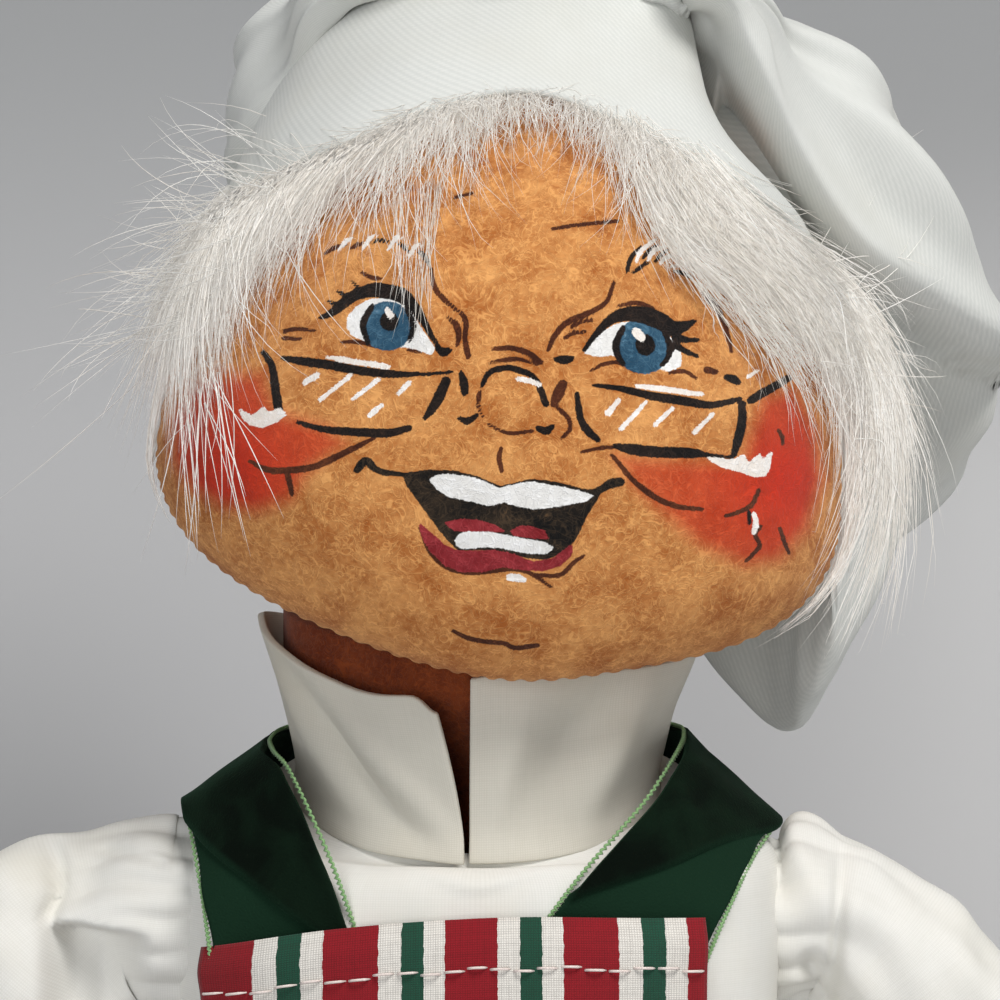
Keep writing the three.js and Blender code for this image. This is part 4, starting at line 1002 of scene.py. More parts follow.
# %% Paint on felt
painted_felt, tree, shader = finish("painted_felt", Roughness=0.95, Specular_IOR_Level=0.12,
                                    Sheen_Weight=0.08, Sheen_Roughness=0.6)
where = in_object(tree)
mat = use(tree, felt_mat, {"Vector": where})
bare = mixed(tree, ramp(tree, mat["Shade"], 0.24, 0.68), dye(164, 92, 38), dye(228, 164, 98))
lines = add(tree, "Attribute", None, attribute_name="paint_lines")
eyes = add(tree, "Attribute", None, attribute_name="paint_eyes")
line_parts = add(tree, "SeparateColor", {0: lines.outputs["Color"]}).outputs
eye_parts = add(tree, "SeparateColor", {0: eyes.outputs["Color"]}).outputs
blush = calc(tree, "MULTIPLY", eyes.outputs["Alpha"], ramp(tree, mat["Shade"], 0.1, 0.6, 0.85, 1.0))
colour = mixed(tree, calc(tree, "MULTIPLY", blush, 0.97), bare,
               mixed(tree, mat["Shade"], dye(158, 12, 4), dye(222, 48, 24)))
ragged = calc(tree, "MULTIPLY", calc(tree, "SUBTRACT", mat["Height"], 0.45), 0.34)
worn = ramp(tree, mat["Height"], 0.62, 0.9, 1.0, 0.72)
for depth, first, second in (
        (line_parts["Red"], dye(58, 26, 14), dye(104, 56, 32)),
        (line_parts["Green"], dye(10, 10, 11), dye(70, 56, 42)),
        (line_parts["Blue"], dye(120, 26, 32), dye(172, 62, 68)),
        (lines.outputs["Alpha"], dye(226, 224, 220), dye(250, 250, 250)),
        (eye_parts["Red"], dye(34, 70, 94), dye(82, 122, 146)),
        (eye_parts["Green"], dye(12, 10, 11), dye(48, 36, 30)),
        (eye_parts["Blue"], dye(236, 226, 216), dye(252, 250, 248))):
    edge = ramp(tree, calc(tree, "ADD", depth, ragged), 0.44, 0.56)
    colour = mixed(tree, calc(tree, "MULTIPLY", edge, worn), colour,
                   mixed(tree, ramp(tree, mat["Shade"], 0.3, 0.75), first, second))
wire_up(tree, shader, colour, mat["Height"], 0.2 * MM, 0.75)
dress(face, painted_felt, "head", ("face_felt", "head_stuffing"))
print("face finish:", painted_felt.name)

# %% Back of the head


def back_place(u, v):
    spots = head_form(2 * np.pi * u, np.sin(np.pi / 2 * v) ** 0.9, 0.0, front=False)
    spots[:, 1] += 0.3
    return on_neck(spots)


nape = laid("head_back", 120, 36, back_place, (250, 60), ring=True)
close_ends(nape)
dress(nape, tan_felt, "head", ("head_back_felt",))
print("head back faces:", len(nape.data.polygons))

# %% [markdown]
# ## Whip stitches
#
# A pale thread is whipped over the edge where the two shells of the head meet. Each stitch is a small bent
# tube of a few faces, along its own short path from the face over the seam to the back.

# %% Stitches round the seam


def merged(name, points, faces):
    """One mesh object from points in mm and faces."""
    mesh = bpy.data.meshes.new(name)
    mesh.from_pydata((np.asarray(points) * MM).tolist(), [], [list(map(int, f)) for f in faces])
    obj = bpy.data.objects.new(name, mesh)
    bpy.context.scene.collection.objects.link(obj)
    only(obj)
    bpy.ops.object.shade_smooth()
    return obj


def strands(paths, radius, sides=3, tip=0.25):
    """Points and faces of closed tubes along many paths of equal count, thinner at both ends."""
    paths = np.asarray(paths, float)
    many, count = paths.shape[:2]
    ahead = np.gradient(paths, axis=1)
    ahead /= np.linalg.norm(ahead, axis=2, keepdims=True) + 1e-9
    lead = np.array((0.31, 0.87, 0.38))
    aside = np.cross(ahead, lead)
    aside /= np.linalg.norm(aside, axis=2, keepdims=True) + 1e-9
    over = np.cross(ahead, aside)
    along = np.linspace(0, 1, count)
    thin = np.clip(np.minimum(1, tip + (1 - along) * 2.5), 0, 1)[None, :]
    taper = np.broadcast_to(np.asarray(radius, float).reshape(-1, 1), (many, 1)) * thin
    turn = 2 * np.pi * np.arange(sides) / sides
    rings = (paths[:, :, None, :] + taper[:, :, None, None] * (
        np.cos(turn)[None, None, :, None] * aside[:, :, None, :]
        + np.sin(turn)[None, None, :, None] * over[:, :, None, :]))
    start = (np.arange(many) * count * sides)[:, None, None]
    level = (np.arange(count - 1) * sides)[None, :, None]
    i = np.arange(sides)[None, None, :]
    j = (i + 1) % sides
    a, b = start + level + i, start + level + j
    quads = np.stack((a, b, b + sides, a + sides), axis=-1).reshape(-1, 4)
    first = start[:, 0] + np.arange(sides)[None, ::-1]
    last = start[:, 0] + (count - 1) * sides + np.arange(sides)[None, :]
    return rings.reshape(-1, 3), [*quads.tolist(), *first.tolist(), *last.tolist()]


turns = np.linspace(0, 2 * np.pi, STITCHES, endpoint=False)
front_side = on_neck(head_form(turns - 0.004, np.full(STITCHES, 0.984), -0.45))
middle = on_neck(head_form(turns, np.full(STITCHES, 1.0), -0.3) + xyz(0, 0.4, 0))
back_side = on_neck(head_form(turns + 0.006, np.full(STITCHES, 0.992), 0.05, front=False))
threads = np.stack((front_side, lerp(front_side, middle, 0.6), middle, lerp(middle, back_side, 0.5),
                    back_side), axis=1)
whip = merged("jaw_stitches", *strands(threads, 0.15, 5, 0.6))
outward(whip)
dress(whip, tan_thread, "head")
print("stitches:", STITCHES)

# %% [markdown]
# ## The cook's hat
#
# The hat is a plain band, narrower at its top, with a puffed crown gathered onto it. The crown sags a
# little on one side and falls far down behind the other cheek. Each spoke of the crown is a smooth line
# from the band's top, down to the lowest fold and up over to the middle. Pleats fade out from the band, and
# soft waves give the folds.

# %% Hat band
BAND_WIDE, BAND_DEEP, BAND_TAPER, BAND_TALL = 38.6, 36.5, 7.0, 25.0
BAND_LEAN, BAND_HOLLOW = math.radians(24.6), 11.0


def band_form(angle, height, out):
    """A point of the hat band in its own frame. Angle 0 is the front, a quarter turn the doll's left."""
    hollow = BAND_HOLLOW * hump(angle, 66, 34) * ease(height, 1, 15) * (1 - ease(out, 1, 8))
    inset = out - BAND_TAPER * np.minimum(height, BAND_TALL) / BAND_TALL - hollow
    return xyz((BAND_WIDE + inset) * np.sin(angle), -(BAND_DEEP + inset) * np.cos(angle), height)


def on_head(spots):
    """From the hat's frame to the head's."""
    x, y, z = spots[..., 0], spots[..., 1], spots[..., 2]
    return xyz(x, y * math.cos(BAND_LEAN) + z * math.sin(BAND_LEAN) + 2.2,
               -y * math.sin(BAND_LEAN) + z * math.cos(BAND_LEAN) + 57)


def band_place(u, v):
    angle = 2 * np.pi * u
    rise = 4.2 * np.exp(-((np.angle(np.exp(1j * angle)) / 0.3) ** 2))
    low = rise - 4.8 * ease(-np.sin(angle), 0.1, 0.9) - 2.2 * ease(np.sin(angle), 0.1, 0.9)
    spots = on_head(band_form(angle, lerp(low, BAND_TALL, v), 0.6))
    soft = 0.35 * ripple(spots, 16, 21)[:, None] * (spots - spots.mean(0)) / 40
    return on_neck(spots + soft)


band = laid("hat_headband", 160, 24, band_place, (240, 26), ring=True)
thick(band, 1.0)
dress(band, hat_twill, "head", ("hat_band",))
print("band faces:", len(band.data.polygons))

# %% Hat crown
PUFF_RISE, OVERHANG, PUFF_SPREAD, PUFF_SAG, SMALL_SAG = 17.0, 7.0, 32.0, 70.0, 19.0
SPOKES, ROWS = 300, 100
# On the plan, the rolled lip of the long side. What lies below it is tucked back.
LIP = [(668, -60), (694, 15), (738, 92), (782, 174), (824, 238), (866, 279), (965, 345), (1060, 384)]
LIP_TUCK, LIP_ROLL = 16.0, 6.0


def crown_place(u, v):
    angle = 2 * np.pi * u
    big = hump(angle, 115, 80)
    sag = 2 + PUFF_SAG * big + SMALL_SAG * hump(angle, -100, 75)
    out = OVERHANG + 1.2 * np.cos(9 * angle) + 0.8 * np.cos(14 * angle + 1)
    wide = PUFF_SPREAD * big
    zero = np.zeros_like(angle)
    rows = [(zero, zero), (out * 0.3 + wide * 0.35, -sag * 0.5), (out * 0.5 + wide * 0.4, -sag),
            (out * 0.9 + wide * 0.55, -sag * 0.86), (out * 0.9 + wide * 0.72, -sag * 0.64),
            (out + wide * 1.05, -sag * 0.42), (out * 0.9 + wide * 0.6, -sag * 0.14),
            (out * 0.9 + wide * 0.44, zero + PUFF_RISE * 0.1), (wide * 0.36 - 1, zero + PUFF_RISE * 0.6),
            (wide * 0.14 - BAND_WIDE * 0.28, zero + PUFF_RISE * 0.9),
            (wide * 0.14 - BAND_WIDE * 0.28, zero + PUFF_RISE)]
    stations = np.array([on_head(band_form(angle, BAND_TALL + 0.3 + np.maximum(rise, 0), reach))
                         + xyz(0, 0, np.minimum(rise, 0))
                         for reach, rise in rows])
    top = on_head(np.array((0, 0, BAND_TALL + 0.3 + PUFF_RISE)))
    stations[-1] = lerp(top, stations[-1], 0.5)
    stations = np.concatenate((stations, np.broadcast_to(top, (1, len(angle), 3))))
    place = v * (len(stations) - 1)
    i = np.clip(place.astype(int), 0, len(stations) - 2)
    t = (place - i)[:, None]
    pick = np.arange(len(angle))
    four = [stations[np.clip(i + k, 0, len(stations) - 1), pick] for k in (-1, 0, 1, 2)]
    spots = 0.5 * (2 * four[1] + (four[2] - four[0]) * t
                   + (2 * four[0] - 5 * four[1] + 4 * four[2] - four[3]) * t**2
                   + (3 * four[1] - four[0] - 3 * four[2] + four[3]) * t**3)
    away = spots - on_head(np.array((0, 0, BAND_TALL * 0.5)))
    away /= np.linalg.norm(away, axis=1, keepdims=True)
    pleats = np.cos(angle * 34 + 2 * np.sin(3 * angle)) * 0.7 * (1 - ease(v, 0.0, 0.3))
    gathers = np.cos(angle * 15 + 1.6 * np.sin(2 * angle + 0.7) + 2.2 * v) * (1 - ease(v, 0.45, 0.95))
    folds = gathers + 0.8 * ripple(spots, 32, 8) + 0.3 * ripple(spots, 12, 9)
    push = pleats + folds * ease(v, 0.03, 0.2) * (1 - 0.6 * ease(v, 0.8, 1.0))
    spots = on_neck(spots + away * push[:, None])
    below = beside(plan_of(spots), LIP)
    front_left = (ease(angle, 0.2, 0.5) * (1 - ease(angle, 1.6, 2.2)) * ease(v, 0.1, 0.25)
                  * (1 - ease(v, 0.6, 0.78)))
    tuck = (LIP_TUCK * ease(below, -3, 16) * (1 - 0.5 * ease(below, 120, 260))
            - LIP_ROLL * np.exp(-(((below + 26) / 24) ** 2)))
    spots[:, 1] += front_left * tuck
    return spots


crown = laid("hat_puff", SPOKES, ROWS, crown_place, (300, 170), ring=True)
thick(crown, 0.9)
dress(crown, hat_twill, "head", ("hat_crown",))
print("crown faces:", len(crown.data.polygons))

# %% [markdown]
# ## The body under the clothes
#
# The torso's outline is a row of half widths and reaches at shares of its height, as in the CAD part. Every
# layer of clothing is laid a little further out from it. The neckline slopes down to the front.

# %% Torso formulas
TORSO_LOW, NECKLINE, SLOPE = 148.1, 249.1, 7.4
TORSO = [(0, 23.76, 18.6, 17.82), (0.06, 33, 26.04, 24.3), (0.2, 38, 31, 27), (0.34, 37, 31, 26.5),
         (0.55, 35.5, 28.5, 24.8), (0.75, 36.5, 26.7, 24), (0.88, 36.5, 24.5, 23.5), (0.945, 33, 23, 23),
         (0.985, 27.5, 22.1, 22), (1, 21.5, 21.5, 21.5)]


def torso_form(height, angle):
    """A point of the torso. Angle 0 is the front, a quarter turn the doll's left."""
    height, angle = np.broadcast_arrays(np.asarray(height, float), angle)
    share = (height - TORSO_LOW).ravel() / (NECKLINE - TORSO_LOW)
    wide, front, back = read_rows(TORSO, share).T.reshape(3, *height.shape)
    reach = np.where(np.cos(angle) > 0, front, back)
    top = ease(height, NECKLINE - 13.5, NECKLINE)
    power = lerp(2.5, 2.0, top)
    return xyz(wide * rounded(np.sin(angle), power), FRONT - reach * rounded(np.cos(angle), power),
               height - SLOPE * top * np.cos(angle))


def torso_point(height, angle, out):
    """A point at a distance out from the torso."""
    above, below = np.minimum(height + 1, NECKLINE), np.maximum(height - 1, TORSO_LOW)
    up = torso_form(above, angle) - torso_form(below, angle)
    aside = torso_form(height, angle + 0.05) - torso_form(height, angle - 0.05)
    away = np.cross(aside, up)
    away /= np.linalg.norm(away, axis=-1, keepdims=True)
    return torso_form(height, angle) + away * np.asarray(out)[..., None]


def torso_angle(height, across):
    """The angle at which the torso's front lies at a distance across."""
    wide = read_rows(TORSO, (np.asarray(height, float) - TORSO_LOW) / (NECKLINE - TORSO_LOW))[:, 0]
    share = np.clip(across / wide, -0.999, 0.999)
    return np.arcsin(np.sign(share) * np.abs(share) ** 1.25)


WAIST_LOW, WAIST_HIGH, BIB_TOP = 173.1, 186.1, 236.1
print("shoulder half width:", read_rows(TORSO, 0.85)[0, 0])

# %% [markdown]
# ## Blouse
#
# The blouse is white cotton: a body, a stand collar in two halves that leaves a slit in front, and puffed
# sleeves. The body runs up to the neckline, and the collar stands on it, higher at the sides. A row of
# tucks shows at its seam.

# %% Blouse body
# On the plan, the edge of the doubled cloth under the slit.
FACING = [(372, 800), (392, 862), (424, 874), (452, 886), (472, 896), (496, 888), (530, 877), (580, 864),
          (600, 800)]


def bodice_place(u, v):
    angle = 2 * np.pi * u
    height = lerp(WAIST_LOW, NECKLINE - 0.3, v)
    waves = ripple(xyz(40 * np.sin(angle), -40 * np.cos(angle), height), 14, 31)
    out = 1.9 + 0.35 * waves * ease(v, 0.05, 0.4) + 0.1 * np.cos(angle * 30) * ease(v, 0.9, 1.0)
    facing = shape_depth(plan_of(torso_point(height, angle, out)), FACING)
    out = out * (1 - 0.92 * ease(v, 0.9, 0.97))
    out = out + np.where(np.cos(angle) > 0, 0.5 * (1 - ease(v, 0.85, 0.91)) * (1 - ease(facing, -4, 3)), 0)
    return torso_point(height, angle, out)


bodice = laid("blouse_body", 230, 110, bodice_place, (205, 78), ring=True)
thick(bodice, 1.1)
dress(bodice, blouse_cotton, "torso", ("blouse_bodice", "torso_skin", "torso_stuffing"))
print("blouse faces:", len(bodice.data.polygons))

# %% Stand collar
COLLAR_RADIUS, COLLAR_FLARE = 22.3, 5.6


def collar_half(side, name, slit, gap, tops, corner, creases):
    """Half of the collar, from the slit to the middle of the back. Tops are its heights: front, side, back.
    A crease is an angle at half height in degrees, its lean, half width, middle, spread and depth."""

    def place(u, v):
        open_front = slit + side * gap * v**1.5 / COLLAR_RADIUS
        angle = lerp(open_front, side * (np.pi - 0.002), u)
        base = NECKLINE - 1.4 - SLOPE * np.cos(angle)
        turn = ease(np.abs(angle), math.radians(25), math.radians(95))
        tip = 1 - corner * (1 - ease(u, 0.0, 0.055)) ** 2
        behind = ease(np.abs(angle), math.radians(95), math.radians(165))
        tall = (lerp(lerp(tops[0], tops[1], turn), tops[2], behind) - base) * tip
        flare = lerp(2.6 if side > 0 else 3.4, COLLAR_FLARE, ease(np.abs(angle), 0.4, 1.3))
        waves = ripple(xyz(30 * angle, v * 20, 0), 17, 41 + side)
        radius = COLLAR_RADIUS + flare * v**1.3 + 0.4 * waves * ease(v, 0, 0.5) + np.exp(-((v / 0.12) ** 2))
        for at, lean, wide, middle, spread, deep in creases:
            off = (np.degrees(side * angle) - at - lean * (v - 0.5)) / wide
            radius = radius + deep * np.exp(-(off**2) - ((v - middle) / spread) ** 2)
        return xyz(radius * np.sin(angle), FRONT - radius * np.cos(angle), base + tall * v)

    made = laid(name, 150, 36, place, (68, 22))
    thick(made, 1.0)
    outward(made)
    finish_with(made, "BEVEL", width=0.25 * MM, segments=2, limit_method="ANGLE", angle_limit=1.0)
    # The collar's darker finish is painted shade.
    dress(made, collar_cotton_painted_shade, "torso")
    return made


left_collar = collar_half(1, "collar_left_stand", -0.062, 0.25, (263.6, 265.8, 267.2), 0.02,
                          [(26, 30, 13, 0.62, 0.3, -1.7), (8, 14, 6, 0.5, 0.4, 0.8),
                           (44, 20, 7, 0.6, 0.4, 0.9)])
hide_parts("collar_left")
right_collar = collar_half(-1, "collar_right_stand", -0.082, 2.6, (261.2, 270.6, 267.2), 0.1,
                           [(38, 46, 7, 0.55, 0.34, -1.5), (26, 46, 6, 0.5, 0.34, 0.8),
                            (54, 46, 8, 0.6, 0.4, 0.7)])
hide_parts("collar_right")
print("collar faces:", len(left_collar.data.polygons) + len(right_collar.data.polygons))

# %% [markdown]
# ## Neck
#
# The neck is a tube of tan felt that spreads where the head sits on it. In the collar's slit only its shade
# shows. Its finish is the tan felt painted darker and redder: painted shade.

# %% Neck felt


def neck_place(u, v):
    angle = 2 * np.pi * u
    side = np.abs(np.angle(np.exp(1j * angle)))
    spread = lerp(9.6, 13.6, ease(side, 0.5, 1.3) * (1 - ease(side, 1.7, 2.5))) - 2.0 * ease(side, 1.7, 2.5)
    radius = 12.0 + spread * ease(v, 0.2, 0.85) + 0.2 * np.cos(angle * 11) * v
    rise = 1.5 * (1 - np.cos(angle)) * (1 - ease(side, 1.7, 2.5)) + 4.5 * hump(angle, -90, 80)
    return xyz(radius * np.sin(angle), FRONT - radius * np.cos(angle), lerp(240.5, 265.5, v) + v * rise)


neck = laid("neck_tube", 72, 30, neck_place, (80, 20), ring=True)
close_ends(neck)
dress(neck, neck_felt, "neck", ("neck_felt",))
print("neck faces:", len(neck.data.polygons))

# %% [markdown]
# ## Apron
#
# The bib is striped cotton with a turned top edge, held down by a running stitch. A ribbon waistband goes
# round over a short gathered skirt of the same cloth. The stripes follow the cloth's flat map, so they run
# with its folds.

# %% Bib
BIB_WIDE, BIB_FOOT, BIB_SHIFT, BIB_FLAT = 57.0, 60.0, -3.0, 58.8


def bib_spot(across, height, out):
    return torso_point(height, torso_angle(height, across), out)


def bib_rise(share):
    """How far the top edge is drawn below the bib's full height at a share across."""
    return read_rows([(0, -6.6), (0.27, -3.8), (0.6, -2.4), (1, -2.8)], share)[:, 0]


def bib_place(u, v):
    height = lerp(WAIST_HIGH - 2, BIB_TOP, v) + bib_rise(u) * ease(v, 0.5, 1.0)
    across = BIB_SHIFT + lerp(BIB_FOOT, BIB_WIDE, v) * (u - 0.5)
    puff = 0.5 * np.exp(-(((v - 0.94) / 0.05) ** 2)) + 0.25 * ripple(xyz(across, 0, height), 13, 51)
    return bib_spot(across, height, 3.4 + 0.8 * ease(v, 0.7, 0.9) + puff)


bib = laid("apron_bib_cloth", 120, 90, bib_place, (BIB_FLAT, 52))
maps = np.empty(2 * len(bib.data.loops))
bib.data.uv_layers[0].data.foreach_get("uv", maps)
maps[0::2] += (BIB_SHIFT - BIB_FLAT / 2) * MM
bib.data.uv_layers[0].data.foreach_set("uv", maps)
thick(bib, 1.0)
dress(bib, striped_cotton, "torso", ("apron_bib",))

STITCH_STEP = 2.7
count = int(BIB_WIDE / STITCH_STEP)
share = (np.arange(count) + 0.5) / count
dashes = []
for t in (-0.43, -0.24, 0.0, 0.24, 0.43):
    u = share + t / count
    height = BIB_TOP - 6.0 + bib_rise(u) + 0.25 * np.cos(np.arange(count) * 1.7)
    across = BIB_SHIFT + BIB_WIDE * (u - 0.5)
    sink = 5.0 - 7.0 * np.abs(t) ** 2.6 + 0.25 * ripple(xyz(across, 0, height), 13, 51)
    dashes.append(bib_spot(across, height, sink))
topstitch = merged("bib_topstitch", *strands(np.stack(dashes, axis=1), 0.18, 6, 0.55))
outward(topstitch)
dress(topstitch, white_thread, "torso")
print("bib faces:", len(bib.data.polygons), "stitches:", count)

# %% Waistband and skirt


def waist_place(u, v):
    angle = 2 * np.pi * u
    height = lerp(WAIST_LOW, WAIST_HIGH, v)
    out = (4.3 + 0.35 * np.sin(np.pi * v)
           + 0.2 * ripple(xyz(40 * np.sin(angle), -30 * np.cos(angle), height), 16, 61))
    return torso_point(height, angle, out)


waistband = laid("apron_waist_ribbon", 160, 14, waist_place, (228, 13), ring=True)
thick(waistband, 0.8)
dress(waistband, green_velvet, "torso", ("apron_waistband",))

SKIRT_SWEEP = math.radians(108)


def skirt_place(u, v):
    angle = lerp(-SKIRT_SWEEP, SKIRT_SWEEP, u)
    fall = 1 - v
    fold = (1.6 * fall * (1 - np.cos(angle * 9 + 0.6 * np.sin(2 * angle)))
            + 0.4 * np.cos(angle * 26) * (1 - fall))
    out = 3.1 + 6 * fall + fold
    reach = out + np.where(np.cos(angle) > 0, 31, 27)
    return xyz((38 + out) * rounded(np.sin(angle), 2.5), FRONT - reach * rounded(np.cos(angle), 2.5),
               WAIST_LOW + 1.5 - 23.5 * fall)


skirt = laid("apron_skirt_cloth", 260, 24, skirt_place, (190, 24))
thick(skirt, 0.9)
dress(skirt, striped_cotton, "torso", ("apron_skirt",))
print("skirt faces:", len(skirt.data.polygons))

# %% [markdown]
# ## Neck ribbon
#
# A dark velvet ribbon holds the bib up. It rises from each corner of the bib, folds over the shoulder
# beside the collar, and passes round the back of the neck. Along both edges runs a row of pale green loops.

# %% Ribbon
# Each row: share of the way to the middle of the back, then the inner and the outer edge in mm.
STRAP_RIGHT = [(0.0, -14.4, -26.2, 228.5, -32.4, -21.2, 225.5),
               (0.16, -18.6, -25.2, 240.5, -34.0, -19.2, 236.0),
               (0.3, -23.8, -20.5, 251.2, -36.8, -9.0, 245.4),
               (0.38, -26.4, -13.0, 253.4, -37.4, -3.0, 246.6),
               (0.5, -27.4, -1.0, 254.2, -36.6, 4.0, 245.8), (0.66, -25.4, 14.0, 254.6, -31.5, 18.5, 243.6),
               (0.82, -15.5, 25.4, 255.6, -18.5, 28.8, 243.4), (1.0, 0.0, 28.8, 256.4, 0.0, 31.6, 243.6)]
STRAP_LEFT = [(0.0, 5.5, -27.0, 229.5, 26.0, -24.2, 226.0), (0.16, 12.6, -26.4, 239.0, 30.0, -21.0, 234.5),
              (0.3, 20.4, -21.5, 247.4, 34.0, -12.5, 240.6), (0.38, 24.0, -15.0, 251.8, 37.0, -4.5, 243.4),
              (0.5, 26.4, -2.0, 254.4, 37.4, 4.0, 244.4), (0.66, 25.4, 14.0, 254.8, 31.5, 18.5, 243.4),
              (0.82, 15.5, 25.4, 255.6, 18.5, 28.8, 243.4), (1.0, 0.0, 28.8, 256.4, 0.0, 31.6, 243.6)]


def strap_edges(along):
    """Inner and outer edge of the ribbon, along it from the doll's right bib corner to its left."""
    way = 1 - np.abs(2 * along - 1)
    rows = np.where((along < 0.5)[:, None], read_rows(STRAP_RIGHT, way), read_rows(STRAP_LEFT, way))
    return rows[:, :3] + xyz(0, FRONT, 0), rows[:, 3:] + xyz(0, FRONT, 0)


# On the plan, where the ribbon folds over itself: the upper layer lies above each line.
FOLD_RIGHT = [(160, 796), (191, 823), (220, 852), (287, 907), (345, 948)]
FOLD_LEFT = [(530, 910), (590, 889), (660, 866), (725, 838), (800, 822)]


def upper_layer(spots, along):
    """1 on the upper layer of the ribbon's fold, 0 on the lower one."""
    plan = plan_of(spots)
    below = np.where(along < 0.5, beside(plan, FOLD_RIGHT), beside(plan, FOLD_LEFT))
    return 1 - ease(below, -4, 4)


def strap_place(u, v):
    inner, outer = strap_edges(u)
    spots = lerp(inner, outer, v[:, None])
    bow = 0.9 * np.sin(np.pi * v) * (1 - np.abs(2 * u - 1))
    away = spots * np.array((1, 1, 0))
    away /= np.linalg.norm(away, axis=1, keepdims=True)
    folded = upper_layer(spots, u) * (1 - ease(1 - np.abs(2 * u - 1), 0.36, 0.5))
    return spots + away * (bow + folded + 0.3 * ripple(spots, 12, 71))[:, None]


ribbon = laid("neck_ribbon_velvet", 320, 40, strap_place, (196, 16))
# The lower layer of the fold, in front, gets the paler green of the painted sheen.
spots = points_of(ribbon) / MM
lower = 1 - upper_layer(spots, np.where(spots[:, 0] < 0, 0.0, 1.0))
painted_pile_sheen = ribbon.data.attributes.new("painted_pile_sheen", "FLOAT", "POINT")
painted_pile_sheen.data.foreach_set("value", (lower * (spots[:, 1] < FRONT)).astype(np.float32))
thick(ribbon, 0.8, 0.0)
dress(ribbon, green_velvet, "torso", ("neck_ribbon",))

LOOPS = 230
walk = np.linspace(0.004, 0.996, LOOPS * 6 + 1)
inner, outer = strap_edges(walk)
cords = []
for edge, other in ((inner, outer), (outer, inner)):
    away = edge - other
    away /= np.linalg.norm(away, axis=1, keepdims=True)
    cords.append(edge + away * (0.25 + 0.45 * np.abs(np.sin(np.arange(len(walk)) * np.pi / 6)))[:, None])
picot = merged("ribbon_picots", *strands(np.stack(cords), 0.2, 4, 1.0))
outward(picot)
dress(picot, picot_thread, "torso")
print("ribbon faces:", len(ribbon.data.polygons))

# %% [markdown]
# ## Bow
#
# The waistband ends in a bow behind. The knot is a ball drawn in round its middle, the loops are closed
# puffs of ribbon that narrow at the knot, and the tails hang down free with slanting ends.

# %% Bow knot, loops and tails
BOW_HEIGHT, BOW_BEHIND = 179.6, FRONT + 32.4
bpy.ops.object.select_all(action="DESELECT")
bpy.ops.mesh.primitive_uv_sphere_add(segments=40, ring_count=24, radius=1, location=(0, 0, 0))
knot = bpy.context.object
knot.name = knot.data.name = "bow_knot_velvet"
spots = points_of(knot)
pinch = (1 - 0.16 * np.cos(3 * np.arctan2(spots[:, 1], spots[:, 0]) + 4 * spots[:, 2])
         * (1 - spots[:, 2] ** 2))
spots = spots * np.array((5.6, 4.8, 7.6)) * pinch[:, None] + np.array((0, BOW_BEHIND + 4.2, BOW_HEIGHT))
knot.data.vertices.foreach_set("co", (spots * MM).ravel())
bpy.ops.object.shade_smooth()
dress(knot, green_velvet, "torso", ("bow_knot",))


def bow_loop(side, name, node):
    def place(u, v):
        turn = 2 * np.pi * u
        wide = 0.32 + 0.68 * np.sin(np.pi * lerp(0.12, 0.86, v))
        end = np.sqrt(np.clip(1 - (np.maximum(v - 0.86, 0) / 0.14) ** 2, 0, 1))
        deep = (2.2 + 2.2 * np.sin(np.pi * v)) * end
        pleat = 1 + 0.12 * np.cos(5 * turn) * (1 - ease(v, 0.1, 0.6))
        return xyz(side * (3.5 + 34 * v), BOW_BEHIND + 4.5 + deep * np.cos(turn) * pleat + 4 * v**2,
                   BOW_HEIGHT + 8.2 * wide * end * np.sin(turn) * pleat - 2 * v)

    made = laid(name, 48, 36, place, (32, 34), ring=True)
    close_ends(made)
    dress(made, green_velvet, "torso", (node,))
    return made


def bow_tail(side, name, node):
    def place(u, v):
        fall = v + 0.12 * (u - 0.5) * ease(v, 0.6, 1.0)
        x = side * (1.0 + 12 * fall + 12 * u * (0.5 + 0.5 * fall))
        y = BOW_BEHIND + 4.2 + 1.5 * np.sin(np.pi * fall) * np.cos(np.pi * u) + 0.4 * np.sin(7 * fall)
        return xyz(x, y, BOW_HEIGHT - 5.5 - 42 * fall)

    made = laid(name, 16, 48, place, (10, 44))
    thick(made, 0.7, 0.0)
    dress(made, green_velvet, "torso", (node,))
    return made


for side, word in SIDES:
    bow_loop(side, f"bow_{word}_puff", f"bow_{word}_loop")
tails = [bow_tail(side, f"bow_{word}_end", f"bow_{word}_tail") for side, word in SIDES]
print("bow tail faces:", len(tails[0].data.polygons))

# %% [markdown]
# ## Sleeves
#
# Each sleeve is one tube of blouse cotton, gathered at the shoulder, puffed above the elbow and drawn in at
# the cuff. It is laid round a line from the shoulder by the bent elbow to the wrist, so the cloth follows
# the elbow.

# %% Arm places
ARM_OUT = ELBOW_BEND = math.radians(40)
SHOULDER_X, SHOULDER_Z, UPPER_ARM, FOREARM, ELBOW_REACH = 50.25, 233.6, 48.0, 46.0, 11


def arm_points(side):
    """Shoulder, elbow, wrist and the forearm's own axes for one side."""
    shoulder = np.array((side * SHOULDER_X, FRONT, SHOULDER_Z))
    elbow = shoulder + UPPER_ARM * np.array((side * math.sin(ARM_OUT), 0, -math.cos(ARM_OUT)))
    level = math.cos(ELBOW_BEND)
    down = np.array((side * level * math.sin(ARM_OUT), -math.sin(ELBOW_BEND), -level * math.cos(ARM_OUT)))
    thin = np.array((math.cos(ARM_OUT), 0, side * math.sin(ARM_OUT)))
    return shoulder, elbow, elbow + FOREARM * down, down, thin


